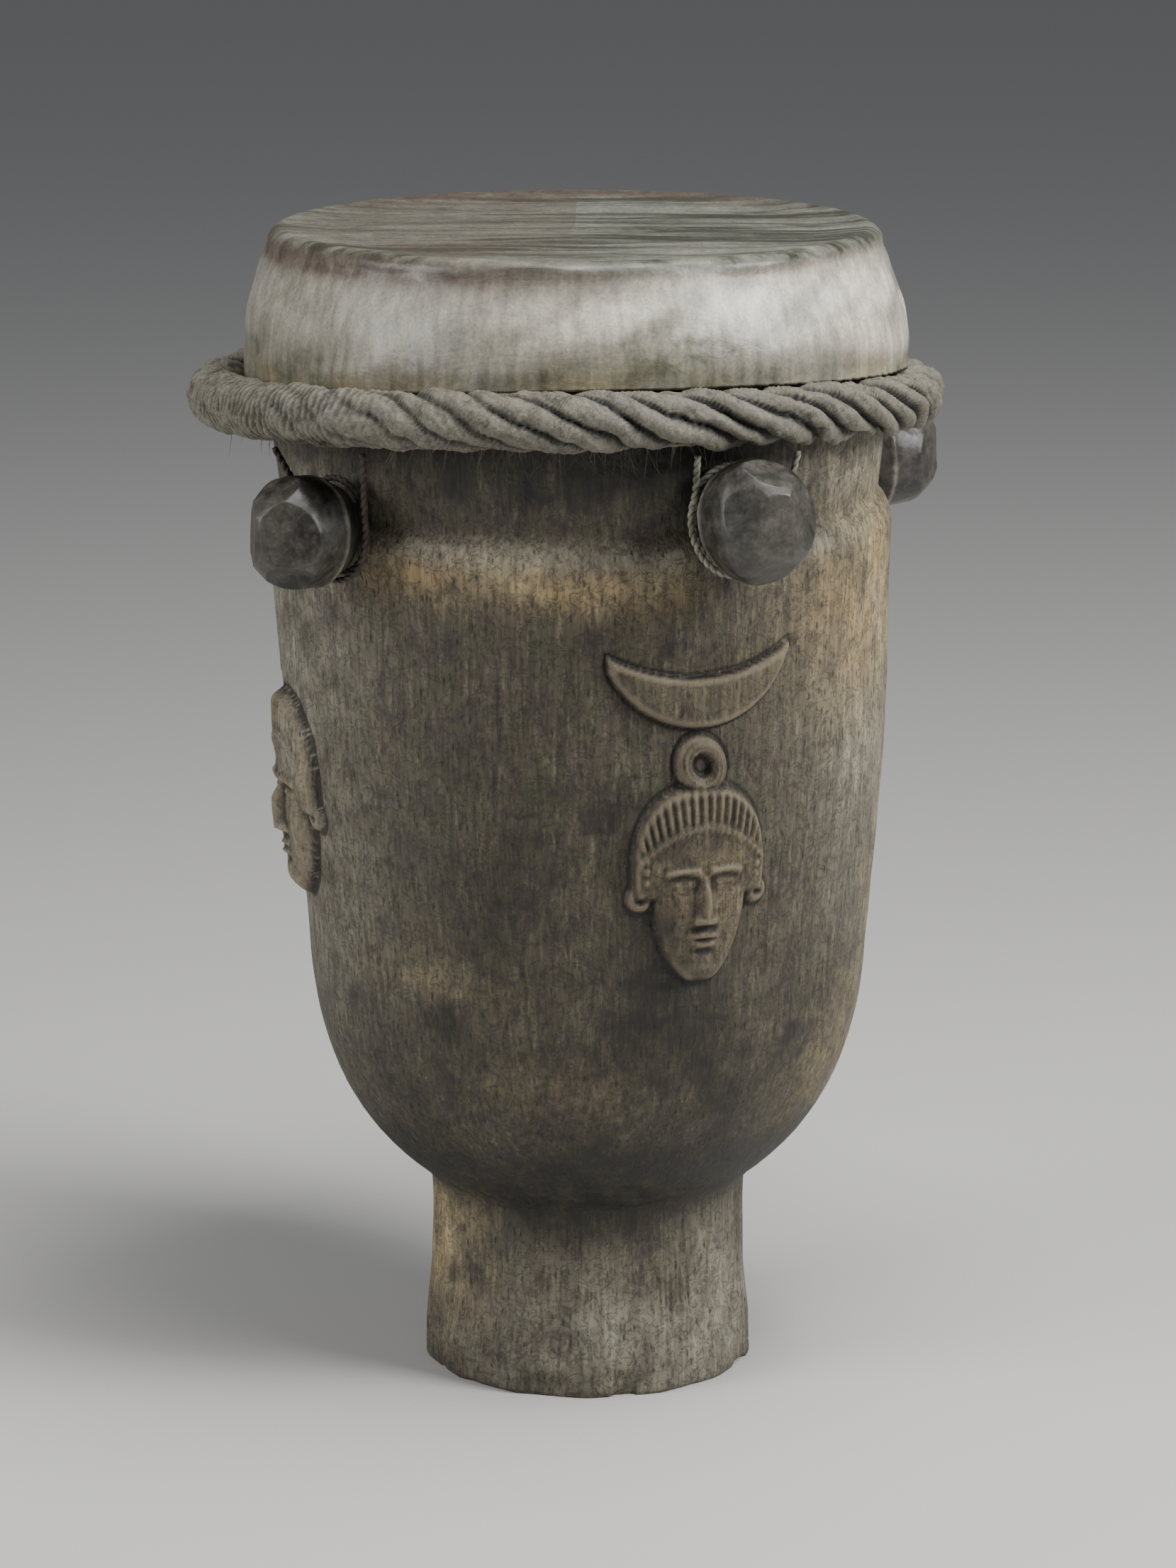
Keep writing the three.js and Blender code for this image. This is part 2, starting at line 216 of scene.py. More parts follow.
def wall_outline():
    foot = [(FOOT_BASE, 0), (FOOT_BASE, 14), (FOOT_WAIST + 1, FOOT_HEIGHT / 2), (FOOT_WAIST, FOOT_HEIGHT)]
    bowl = bezier((FOOT_WAIST, FOOT_HEIGHT), (97, 104), (117, 130), (BELLY_RADIUS, BELLY_HEIGHT))
    wall = bezier((BELLY_RADIUS, BELLY_HEIGHT), (122.5, 215), (131, 270), (WALL_RADIUS, WALL_HEIGHT))
    shoulder = (SHOULDER_RADIUS, SHOULDER_HEIGHT)
    step = bezier(shoulder, (SHOULDER_RADIUS - 1, SHOULDER_TOP - 3), (NECK_RADIUS, SHOULDER_TOP))
    neck_radius = NECK_RADIUS + NECK_FLARE
    neck = [(neck_radius, SHOULDER_TOP + 22), (neck_radius, NECK_TOP)]
    under_skin = head_outline()[4:-4] - (HEAD_THICKNESS + 2, 0)
    return np.vstack([foot, bowl[1:], wall[1:], step, neck, under_skin])


WALL_LINE = wall_outline()


def wall_radius(height):
    return np.interp(height, WALL_LINE[:, 1], WALL_LINE[:, 0])


def raised(inside, lift, steep=1.3):
    """A shape that rises from its edge to a rounded top; inside is the distance in from the edge."""
    return lift * np.tanh(steep * inside / lift)


def crescent(u, v):
    """A crescent with its left horn cut blunt, its face nearly flat and its edges cut steeply."""
    lower = 42.3 - np.hypot(u, v - 20.3)
    upper = np.hypot(u, v - 77.8) - 77.8
    inside = np.minimum(np.minimum(lower, upper), 38.5 + u)
    lip = 0.7 * hill(upper - 1.6, 1.1)
    pit = -1.3 * hill(u + 33, 1.7) * hill(v - 11.5, 1.6)
    return raised(inside, 4.3, 2.3) + (lip + pit) * smooth(inside, 0, 2)


def knot_of_hair(u, v):
    """A lock of hair tied in a loop, leaning to one side."""
    across = u + 0.12 * v
    ring = 4.2 - np.abs(np.hypot(across, v * 0.85) - 7.5)
    strands = 0.4 * np.sin(np.hypot(across, v * 0.85) * 3.2 + np.arctan2(v, across))
    return raised(ring, 4, 1.8) + strands * smooth(ring, 0.5, 2)


def face_features(u, v):
    """Calm, plain features: long brows that run into the nose, lowered lids and a closed mouth."""
    across = np.abs(u)
    brow_line = v - 6.5 + (across - 8.5) ** 2 / 55
    brow = 1.7 * hill(brow_line, 1.5) * smooth(across, 0.5, 3) * (1 - smooth(across, 15, 18))
    socket = -2.4 * hill(v - 1.2, 3.2) * hill(across - 8.6, 5.6)
    eye = 1 - ((across - 8.8) / 5.4) ** 2 - ((v - 0.2) / 2.6) ** 2
    lid = 2.1 * np.sqrt(np.clip(eye, 0, 1))
    slit = -1.2 * hill(v + 0.8 - 0.02 * (across - 9) ** 2, 0.6) * smooth(eye, -0.1, 0.3)
    bridge = smooth(6 - v, 0, 9) * smooth(v + 16.5, 0, 1.6)
    nose = 4.3 * bridge * hill(u, 1.9 + np.clip(6 - v, 0, 22) * 0.07)
    wings = 1.9 * hill(across - 3.5, 1.6) * hill(v + 14, 1.9)
    under_nose = -0.9 * hill(v + 17.6, 1.1) * hill(u, 5)
    upper_lip = 2.1 * hill(v + 20.7 + 0.02 * u**2, 1.15) * hill(u, 5.2)
    lower_lip = 2.3 * hill(v + 24.2 - 0.03 * u**2, 1.35) * hill(u, 4.7)
    parting = -1.3 * hill(v + 22.4, 0.65) * hill(u, 5.6)
    under_lip = -0.9 * hill(v + 27.6, 1.4) * hill(u, 5)
    chin = 1.6 * hill(v + 33.5, 4.3) * hill(u, 7.5)
    cheeks = 1.0 * hill(across - 12, 5) * hill(v + 11, 7)
    upper = brow + socket + lid + slit + nose + wings + under_nose
    return upper + upper_lip + lower_lip + parting + under_lip + chin + cheeks


def coiffure_height(u, v, hairline):
    """A wide dome of combed hair with a raised edge, a braid across the brow and a fringe of beads."""
    across = np.abs(u)
    dome = 1 - ((across / 30) ** 2.5 + (np.abs(v - 4) / 38) ** 2.5) ** 0.4
    inside = np.minimum(dome * 28, v + 7)
    covered = smooth(inside, 1.5, 4) * smooth(-hairline, 1, 3)
    spread = u / (1 + 0.012 * (v - 10))
    combed = 0.55 * np.cos(spread * 2 * math.pi / COMB_PITCH)
    braid = 1.1 * hill(hairline + BRAID_RISE, 1.9) * (0.75 + 0.25 * np.cos(u * 2.6 + hairline * 1.6))
    beads = 0.9 * hill(hairline + 1.2, 1.1) * (0.6 + 0.4 * np.cos(u * 2 * math.pi / COMB_PITCH))
    rim = 0.9 * hill(dome * 28 - 2.6, 1.3)
    top = raised(inside, 5.2, 1.7) + 1.5 * np.clip(dome, 0, 1)
    relief = combed * (1 - hill(hairline + BRAID_RISE, 2.6)) + braid + beads
    return top + relief * covered + rim * smooth(v, -7, 2)


def mask_height(u, v):
    """A mask face under its coiffure, with a curled lock and a string of beads down each side."""
    across = np.abs(u)
    hairline = 19 - (across / FACE_WIDTH) ** 2 * 9 - v
    coiffure = coiffure_height(u, v, hairline)
    rounding = np.clip(1 - (v / FACE_LENGTH) ** 2, 0, 1) ** 0.45
    jaw = np.where(v > 0, FACE_WIDTH, FACE_WIDTH * rounding)
    inside = np.minimum(np.minimum(jaw - across, v + FACE_LENGTH), hairline + 1)
    oval = raised(inside, 6, 1.7) + 1.6 * hill(u, 17) * hill(v + 14, 28)
    face = oval + smooth(inside, 0.5, 3) * face_features(u, v)
    from_lobe = np.hypot(across - 26.2, v + 5.5)
    lobe = raised(6.2 - from_lobe, 4, 1.7) - 2.4 * hill(from_lobe, 1.9)
    bead = np.hypot(across - 23.6, (v % 4.6) - 2.3)
    string = np.where((v > -0.2) & (v < 13.6), raised(2.1 - bead, 1.6, 2) + 4.6, 0)
    return np.maximum(np.maximum(coiffure, face), np.maximum(lobe, string * (bead < 2.2)))


def carving_height(angle, height):
    """Millimetres that the carvings stand out of the bare wall, with a shallow stop cut along their edges."""
    tallest = np.full(np.broadcast(angle, height).shape, SUNK)
    for motif in MOTIFS:
        u = np.radians(turn_between(angle, motif["angle"])) * WALL_RADIUS / motif["scale"]
        v = (height - motif["height"]) / motif["scale"]
        parts = [np.full(tallest.shape, SUNK)]
        if motif["mask"]:
            parts.append(np.where((np.abs(u) < 36) & (np.abs(v) < 46), mask_height(u, v), SUNK))
        if motif["crest"]:
            over_knot, over_crescent = v - KNOT_RISE, v - CRESCENT_RISE
            parts.append(np.where(np.abs(over_knot) < 16, knot_of_hair(u, over_knot), SUNK))
            parts.append(np.where(np.abs(over_crescent) < 24, crescent(u, over_crescent), SUNK))
        tallest = np.maximum(tallest, np.maximum.reduce(parts) * motif["scale"])
    return np.maximum(tallest, 0) - 0.9 * hill(tallest + 0.8, 0.9)


def foot_flats(angle, height):
    """The adze left the foot in flats: its radius over a circle's."""
    side = 360 / FOOT_SIDES
    across = angle % side - side / 2
    polygon = math.cos(math.radians(side / 2)) / np.cos(np.radians(across))
    share = 0.7 * (1 - smooth(height, FOOT_HEIGHT - 16, FOOT_HEIGHT + 4))
    return 1 + (polygon - 1) * share


def column_closeness(angle):
    """The carved faces need the finest mesh: the front one most, then the one at the left."""
    close = np.full(angle.shape, 1.0)
    for motif, extra, reach in zip(MOTIFS, (8.5, 5.0, 2.0), (18.5, 17.5, 18)):
        close += extra * (np.abs(turn_between(angle, motif["angle"])) < reach)
    return close


def row_closeness(height):
    close = np.full(height.shape, 1.0)
    close += 4.6 * ((height > 196) & (height < 345))
    close += 1.6 * (height < 16)
    close += 1.2 * ((height > 368) & (height < 392))
    return close


shell_angles = spaced(-180, 180, 353, column_closeness)[:-1]
outer_heights = spaced(0.0, HEIGHT - 3.4, 242, row_closeness)


# Each crack's middle angle, lowest and highest point, and how far it wanders.
CRACKS = ((38, -5, 62, 3.0), (-24, 20, 78, 2.0), (64, -5, 40, 2.0), (150, 5, 70, 3.0))


def drying_cracks(angle, height):
    """Cracks that run up the foot with the grain."""
    depth = np.zeros(np.broadcast(angle, height).shape)
    for middle, low, high, wander in CRACKS:
        line = middle + wander * np.sin(height / 17 + middle)
        along = smooth(height, low, low + 12) * (1 - smooth(height, high - 20, high))
        depth += hill(turn_between(angle, line), 0.9) * along
    return depth


def shell_surface():
    """Radius of the outside of the shell, how far its carvings stand out, and its points."""
    angle = shell_angles[None, :]
    height = outer_heights[:, None]
    bare = wall_radius(height) * foot_flats(angle, height)
    points = placed(angle, bare, height) / MM
    broad = lumps(points, 70, 1)
    small = lumps(points * (1, 1, 0.45), 16, 2)
    fine = lumps(points * (1, 1, 0.3), 5, 3)
    under_skin = smooth(height, NECK_TOP - 2, NECK_TOP + 8)
    uneven = (broad * 0.9 + small * 0.5 + fine * 0.2) * (1 - under_skin)
    above_floor = smooth(height, 0, 6)
    chips = smooth(lumps(points, 11, 4), 0.22, 0.45) * (1 - smooth(height, 3, 14))
    rotten = hill(turn_between(angle, 48), 24) * hill(height - 32, 26)
    fibres = np.abs(lumps(points * (1, 1, 0.14), 3.4, 7))
    carving = carving_height(angle, height)
    radius = bare + carving + (uneven - 0.4) * above_floor - 2.4 * chips
    radius -= 1.8 * (1 - smooth(height, 0, 4)) ** 2
    radius -= 1.3 * drying_cracks(angle, height) + rotten * fibres * 3.4
    return radius, carving, points


shell_radius, shell_carving, shell_points = shell_surface()
outer = placed(shell_angles[None, :], shell_radius, outer_heights[:, None])


def inner_rows():
    """The inside, from the rim down the chamber and out through the bore, then across the underside."""
    chamber = bezier((CHAMBER_RADIUS, 310), (CHAMBER_RADIUS, 250), (107, 200), (102, 176), count=8)
    floor_line = bezier((102, 176), (96, 148), (80, 120), (BORE_THROAT, BORE_HEIGHT), count=9)
    upper = [(CHAMBER_RADIUS, z) for z in np.linspace(outer_heights[-1], 340, 5)]
    bore = [(np.interp(z, (0, BORE_HEIGHT), (BORE_BASE, BORE_THROAT)), z) for z in (64, 36, 12, 1.2)]
    under = [(BORE_BASE + 1.2, 0.0), (62.0, 0.0)]
    return np.vstack([upper, chamber, floor_line[1:], bore, under])


inner = inner_rows()
gouged = 0.7 * np.sin(np.radians(shell_angles[None, :]) * 31 + inner[:, 1:] / 23) * (inner[:, 1:] > 2)
inside = placed(shell_angles[None, :], inner[:, :1] + gouged, inner[:, 1:])
shell = skin_of_quads("carved_shell", np.concatenate([outer, inside]), joined_rows=True)


def neighbour_mean(mesh, values, rounds):
    """Each point's values, replaced by the mean over the points it shares an edge with."""
    edges = np.empty(len(mesh.edges) * 2, np.int32)
    mesh.edges.foreach_get("vertices", edges)
    a, b = edges.reshape(-1, 2).T
    ends, others = np.concatenate([a, b]), np.concatenate([b, a])
    count = np.bincount(ends, minlength=len(values))
    for _ in range(rounds):
        sums = (np.bincount(ends, values[others, k], len(values)) for k in range(values.shape[1]))
        values = np.stack([total / count for total in sums], 1)
    return values


def ridges(mesh, rounds):
    """How far each point stands above the surface round it, in the mesh's own unit; hollows are below 0."""
    points = np.empty(len(mesh.vertices) * 3, np.float32)
    mesh.vertices.foreach_get("co", points)
    normals = np.empty(len(mesh.vertices) * 3, np.float32)
    mesh.vertex_normals.foreach_get("vector", normals)
    points = points.reshape(-1, 3).astype(float)
    above = ((points - neighbour_mean(mesh, points, rounds)) * normals.reshape(-1, 3)).sum(1)
    return neighbour_mean(mesh, above[:, None], 1).ravel()


def patch(middle, middle_height, turn_width, height_width):
    """A soft patch on the wall, round an angle and a height."""
    turned = turn_between(shell_angles[None, :], middle)
    return hill(turned, turn_width) * hill(outer_heights[:, None] - middle_height, height_width)


def whole_shell(values, within=0.0):
    """Mask values for the outside, with one value for all of the inside."""
    return np.concatenate([values, np.full(inside.shape[:2], within)]).ravel()


def shell_noise(size, seed, upright=1.0):
    return lumps(shell_points * (1, 1, upright), size, seed)


blotches = shell_noise(34, 5, 0.7)
specks = shell_noise(12, 6)
drips = shell_noise(9, 8, 0.12)
height_of = outer_heights[:, None]
turn_of = turn_between(shell_angles[None, :], 0)
bare_wood = 0.55 * patch(-27, 369, 24, 11) + 0.6 * patch(4, 366, 15, 9) + 0.95 * patch(76, 350, 26, 44)
bare_wood += 0.45 * patch(150, 366, 60, 16) + 0.75 * patch(76, 150, 20, 26) + 0.45 * patch(84, 225, 12, 40)
bare_wood += 0.4 * patch(-8, 150, 14, 9) + 0.4 * patch(-32, 195, 16, 10) + 0.3 * patch(24, 243, 9, 14)
bare_wood += 0.9 * patch(-58, 60, 30, 26) * (1 - smooth(turn_of, -36, -32)) + 0.35 * patch(190, 40, 70, 30)
bare_wood = bare_wood * (1 + 1.1 * blotches + 0.8 * specks) + 0.14 * smooth(shell_carving, 2.5, 5)
# Partly dust, partly painted side light: the pale patches on the left and right flanks.
dust_and_painted_light = 0.7 * patch(-66, 320, 24, 60) + 0.5 * patch(-66, 215, 24, 60) + 0.8 * patch(74, 285, 24, 75)
# Painted highlight over dust: the band along the top of the shoulder, strongest at the front.
dust_and_painted_light += 0.8 * hill(height_of - 379, 6) * (0.75 + 0.25 * np.cos(np.radians(turn_of - 10)))
dust_and_painted_light += 1.0 * patch(72, 408, 26, 20) + 0.5 * patch(-52, 402, 16, 18) + 0.5 * patch(170, 280, 60, 80)
dust_and_painted_light += (0.5 * patch(0, 30, 80, 36) + 0.6 * patch(55, 36, 24, 34)) * (height_of < FOOT_HEIGHT)
dust_and_painted_light = dust_and_painted_light * (1 + 0.9 * blotches + 0.7 * specks)
neck = smooth(height_of, SHOULDER_TOP - 2, SHOULDER_TOP + 3)
shadowed_neck = neck * (0.35 + 0.9 * hill(turn_of - 2, 34) * smooth(height_of, 392, 416))
# Painted shade, partly soot: the near-black band round the foot of the bowl and the patch on top of the foot
# at the front are shade under the bowl.
soot_and_painted_shade = 1.7 * hill(height_of - 101, 17) * (1.0 + 0.5 * blotches) + 0.9 * patch(2, 80, 36, 14)
# Painted shade: the middle of the front is darkened, between the flanks that the side lights reach.
soot_and_painted_shade += (0.5 * patch(0, 265, 40, 80) + 0.95 * patch(-4, 155, 60, 45)) * (0.9 + 1.5 * blotches + 0.7 * specks)
# Painted shade: the neck under the hoop, darkest at the front just below it.
soot_and_painted_shade += shadowed_neck * (1 + 1.0 * drips) * (1 - 0.8 * patch(76, 410, 30, 60))
paint_mask(shell, "bare_wood", whole_shell(bare_wood, 0.12))
paint_mask(shell, "dust_and_painted_light", whole_shell(dust_and_painted_light, 0.15))
paint_mask(shell, "soot_and_painted_shade", whole_shell(soot_and_painted_shade, 0.3))
shell_ridges = ridges(shell.data, 4) / MM
carved = whole_shell(smooth(np.abs(shell_carving), 0.02, 0.3))
# Partly rubbed wear, partly painted highlight: the carved ridges are lightened.
paint_mask(shell, "rubbed_edge_and_highlight", smooth(shell_ridges, 0.05, 0.3) * carved)
# Painted shade: the hollows of the carvings, laid in near black.
paint_mask(shell, "painted_recess_shade", smooth(-shell_ridges, 0.04, 0.26) * carved)


def finish(name):
    """A new material, its node tree and its shader."""
    material = bpy.data.materials.new(name)
    material.use_nodes = True
    return material, material.node_tree, material.node_tree.nodes["Principled BSDF"]


def feed(tree, socket, value):
    """Sets a socket, or joins it to the socket that feeds it."""
    if isinstance(value, bpy.types.NodeSocket):
        tree.links.new(value, socket)
    else:
        socket.default_value = value


def lay(tree, kind, settings=None, **inputs):
    """One node of a finish. An input is a value, or the socket that feeds it."""
    node = tree.nodes.new("ShaderNode" + kind)
    for key, value in (settings or {}).items():
        setattr(node, key, value)
    for key, value in inputs.items():
        feed(tree, node.inputs[key.replace("_", " ")], value)
    return node


def colour_mix(tree, share, under, over, how="MIX"):
    """Two colours laid over each other; either may be a value or a socket."""
    node = tree.nodes.new("ShaderNodeMix")
    node.data_type = "RGBA"
    node.blend_type = how
    for place, value in ((0, share), (6, under), (7, over)):
        feed(tree, node.inputs[place], value)
    return node.outputs[2]


def stretched(tree, x, y, z):
    """The piece's own coordinates, scaled along each axis."""
    place = lay(tree, "TexCoord").outputs["Object"]
    return lay(tree, "Mapping", Vector=place, Scale=(x, y, z)).outputs["Vector"]


def grain(tree, where, size, detail=4.0, rough=0.55, warp=0.0):
    """Fractal noise from 0 to 1."""
    made = lay(tree, "TexNoise", Vector=where, Scale=size, Detail=detail, Roughness=rough, Distortion=warp)
    return made.outputs["Fac"]


def steps(tree, value, low, high, to_low=0.0, to_high=1.0):
    """The part of a value between low and high, spread over another range."""
    made = lay(tree, "MapRange", Value=value, From_Min=low, From_Max=high, To_Min=to_low, To_Max=to_high)
    return made.outputs["Result"]


def product(tree, a, b):
    node = tree.nodes.new("ShaderNodeMath")
    node.operation = "MULTIPLY"
    for socket, value in zip(node.inputs, (a, b)):
        feed(tree, socket, value)
    return node.outputs[0]


def mask(tree, name):
    return lay(tree, "Attribute", {"attribute_name": name}).outputs["Fac"]


def fibre_tone(tree, value):
    """A grey that lightens and darkens with the grain, for laying over a colour."""
    ramp = lay(tree, "ValToRGB", Fac=value)
    ramp.color_ramp.elements[0].position = 0.32
    ramp.color_ramp.elements[0].color = (0.16, 0.16, 0.16, 1)
    ramp.color_ramp.elements[1].position = 0.68
    ramp.color_ramp.elements[1].color = (0.84, 0.83, 0.8, 1)
    return ramp.outputs["Color"]


def thin_lines(tree, value, width):
    """1 along the thin lines where a noise crosses its middle, 0 away from them."""
    off = lay(tree, "Math", {"operation": "SUBTRACT"}, Value=value)
    off.inputs[1].default_value = 0.5
    size = lay(tree, "Math", {"operation": "ABSOLUTE"}, Value=off.outputs[0])
    return steps(tree, size.outputs[0], 0, width, 1, 0)


def bump(tree, height, strength, distance, under=None):
    """Relief from a height, over another relief or on its own."""
    below = {"Normal": under} if under else {}
    made = lay(tree, "Bump", Strength=strength, Distance=distance, Height=height, **below)
    return made.outputs["Normal"]


PLUM_WOOD, UMBER_WOOD, OLIVE_WOOD = (0.062, 0.045, 0.038, 1), (0.098, 0.078, 0.055, 1), (0.07, 0.067, 0.04, 1)
TAN_WOOD, BLACK_WOOD, DUST_AND_PAINTED_LIGHT = (0.2, 0.17, 0.12, 1), (0.02, 0.016, 0.012, 1), (0.29, 0.27, 0.21, 1)
PALE_OCHRE, DEEP_OCHRE = (0.42, 0.345, 0.19, 1), (0.34, 0.245, 0.125, 1)
SOOT_AND_SHADE, CRUST, PORE = (0.013, 0.011, 0.008, 1), (0.014, 0.012, 0.009, 1), (0.016, 0.013, 0.01, 1)
RUBBED_WOOD_AND_HIGHLIGHT, RECESS_SHADE = (0.26, 0.21, 0.14, 1), (0.008, 0.006, 0.005, 1)


def coat(tree, shader, colour, roughness, relief):
    for name, value in (("Base Color", colour), ("Roughness", roughness), ("Normal", relief)):
        feed(tree, shader.inputs[name], value)


def aged_wood():
    """Dark, crusted wood with upright grain, worn to ochre, dusted grey or smoked black in places; painted
    light rides with the dust and rubbed edges, painted shade with the soot and recesses.
    """
    material, tree, shader = finish("aged_wood")
    plain = stretched(tree, 1, 1, 1)
    upright = stretched(tree, 1, 1, 0.07)
    long_grain = stretched(tree, 1, 1, 0.2)
    cloud = grain(tree, plain, 24, 4, 0.6)
    mottle = grain(tree, plain, 85, 6, 0.68, 0.5)
    speckle = grain(tree, long_grain, 420, 5, 0.7)
    fibre = grain(tree, upright, 520, 6, 0.65)
    streak = grain(tree, upright, 150, 4, 0.6)
    crackle = thin_lines(tree, grain(tree, plain, 190, 4, 0.6, 0.8), 0.05)
    pores = lay(tree, "TexVoronoi", Vector=stretched(tree, 1, 1, 0.3), Scale=380.0).outputs["Distance"]

    plum = colour_mix(tree, steps(tree, cloud, 0.4, 0.6), PLUM_WOOD, UMBER_WOOD)
    olive = colour_mix(tree, steps(tree, mottle, 0.42, 0.58), plum, OLIVE_WOOD)
    light = colour_mix(tree, steps(tree, speckle, 0.52, 0.72, 0, 0.75), olive, TAN_WOOD)
    dark = colour_mix(tree, steps(tree, mottle, 0.46, 0.3, 0, 0.8), light, BLACK_WOOD)
    ground = steps(tree, streak, 0.3, 0.7, 0.6, 1.15)
    broken = steps(tree, mottle, 0.3, 0.62)
    # Dust and painted light: pale grey where the flanks and the shoulder are lit.
    grey = product(tree, product(tree, mask(tree, "dust_and_painted_light"), ground), steps(tree, broken, 0, 1, 0.45, 1.15))
    dusted_and_lit = colour_mix(tree, grey, dark, DUST_AND_PAINTED_LIGHT)
    bared = product(tree, mask(tree, "bare_wood"), ground)
    worn = product(tree, bared, steps(tree, broken, 0, 1, 0.25, 1.35))
    ochre = colour_mix(tree, steps(tree, cloud, 0.42, 0.58), PALE_OCHRE, DEEP_OCHRE)
    rubbed = colour_mix(tree, worn, dusted_and_lit, ochre)
    # Painted shade with the soot: under the bowl, down the front and on the neck.
    soot_and_shade_share = product(tree, mask(tree, "soot_and_painted_shade"), steps(tree, mottle, 0.3, 0.7, 1.15, 0.5))
    smoked_and_shaded = colour_mix(tree, soot_and_shade_share, rubbed, SOOT_AND_SHADE)
    crusted = colour_mix(tree, product(tree, crackle, 0.6), smoked_and_shaded, CRUST)
    pitted = colour_mix(tree, steps(tree, pores, 0.06, 0.28, 0.8, 0.0), crusted, PORE)
    lined = colour_mix(tree, 0.6, pitted, fibre_tone(tree, fibre), "OVERLAY")
    # Rubbed wear and painted highlight on the carved ridges.
    edged = colour_mix(tree, product(tree, mask(tree, "rubbed_edge_and_highlight"), 0.5), lined, RUBBED_WOOD_AND_HIGHLIGHT)
    # Painted shade in the hollows of the carvings.
    sunk = colour_mix(tree, product(tree, mask(tree, "painted_recess_shade"), 0.85), edged, RECESS_SHADE)
    shader.inputs["Specular IOR Level"].default_value = 0.4
    relief = bump(tree, fibre, 0.6, 0.0007)
    pocked = bump(tree, steps(tree, pores, 0.02, 0.25), 0.6, 0.0005, relief)
    knocked = bump(tree, mottle, 0.7, 0.0018, pocked)
    coat(tree, shader, sunk, steps(tree, mottle, 0.3, 0.7, 0.46, 0.74), knocked)
    return material


shell.data.materials.append(aged_wood())
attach(shell, "root")
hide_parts("drum_shell")

# ---------- The hoop ----------
# Strips of raw hide, wetted and twisted into one thick ring that dried hard. It is plain and bound with thin
# thongs at the left, crumpled at the front and deeply lobed at the right.

HOOP_RADIUS, HOOP_OFFSET, HOOP_HEIGHT, HOOP_DIP, HOOP_SWAY = 149.2, -9.6, 430.0, 7.0, 2.0
HOOP_THICK, HOOP_THINNEST, HOOP_CORE = 13.0, 5, 12
STRANDS, LAY = 5, 9
STRAND_DEPTH, FINE_DEPTH, THONG_DEPTH = 6.2, 0.9, 1.8
BOUND_ANGLE, BOUND_SPREAD, THONGS = -62, 26, 150
HIDE_OLIVE, HIDE_GREY = (0.052, 0.046, 0.026, 1), (0.06, 0.057, 0.048, 1)
HIDE_TAN, HIDE_HIGHLIGHT, HIDE_CREVICE_SHADE = (0.12, 0.113, 0.087, 1), (0.24, 0.225, 0.18, 1), (0.008, 0.007, 0.005, 1)


def hoop_line(angle):
    """Radius and height of the hoop's centre line."""
    turn = np.radians(angle)
    height = HOOP_HEIGHT + HOOP_DIP * np.cos(turn) + HOOP_SWAY * np.cos(2 * turn)
    return HOOP_RADIUS + HOOP_OFFSET * np.sin(turn), height


def straight_placed(angle, radius, height):
    """As placed, but round the foot's own axis, with no lean."""
    turn = np.radians(angle)
    x = AXIS_X + np.sin(turn) * radius * MM
    y = AXIS_Y - np.cos(turn) * radius * MM
    return np.stack(np.broadcast_arrays(x, y, height * MM), -1)


def hoop_surface(columns=1300, sides=60):
    """The hoop's skin, how deep its creases are, and where it is bound."""
    angle = np.linspace(-180, 180, columns, endpoint=False)[None, :]
    section = np.linspace(0, 2 * np.pi, sides, endpoint=False)[:, None]
    radius, height = hoop_line(angle)
    core_out, core_up = np.cos(section) * HOOP_CORE, np.sin(section) * HOOP_CORE
    core = straight_placed(angle, radius + core_out, height + core_up)
    points = core / MM
    wander = lumps(points, 24, 11)
    crumple = lumps(points, 8, 12)
    hairs = lumps(points, 2.4, 13)
    phase = section * STRANDS + np.radians(angle) * STRANDS * LAY + wander * 2.6 + crumple * 0.5
    across = phase / (2 * np.pi)
    place = 2 * (across % 1) - 1
    strand = np.sqrt(np.clip(1 - place**2, 0, 1))
    uneven = np.sin(np.floor(across) * 2.4) * 0.9
    fine = np.abs(np.sin(phase * 2.5 + crumple * 2.4))
    lobed = 0.45 + 0.55 * smooth(angle, -20, 30) * (1 - smooth(angle, 120, 160))
    bound = hill(turn_between(angle, BOUND_ANGLE), BOUND_SPREAD) * np.ones(wander.shape)
    thongs = np.abs(np.sin(np.radians(angle) * THONGS + section * 1.2 + wander * 1.5 + crumple)) ** 0.6
    crease = (1 - strand) ** 0.8 * (1 - 0.75 * bound)
    dip = crease * STRAND_DEPTH * lobed + (1 - fine) * FINE_DEPTH * (1 - bound)
    dip = dip + bound * (1 - thongs) * THONG_DEPTH
    thick = HOOP_THICK - 0.7 - dip + uneven * (1 - bound) * lobed
    thick = thick + crumple * 1.3 + wander * 0.8 + hairs * 0.4
    thick = np.clip(thick, HOOP_THINNEST, HOOP_THICK + 0.3)
    out = radius + np.cos(section) * thick
    up = height + np.sin(section) * thick
    return straight_placed(angle, out, up), dip, bound


hoop_grid, hoop_dip, hoop_bound = hoop_surface()
hoop = skin_of_quads("twisted_hoop", hoop_grid, joined_rows=True)
hoop_ridges = ridges(hoop.data, 3) / MM
# Painted shade: the creases between the strands and the hollows of the hide, near black.
paint_mask(hoop, "crevice_shade", smooth(hoop_dip.ravel(), 1.6, 4.4) + smooth(-hoop_ridges, 0.05, 0.3) * 0.8)
# Painted highlight: the proud edges of the strands, lightened.
paint_mask(hoop, "raised_edge_highlight", smooth(hoop_ridges, 0.03, 0.2))
paint_mask(hoop, "bound", hoop_bound)


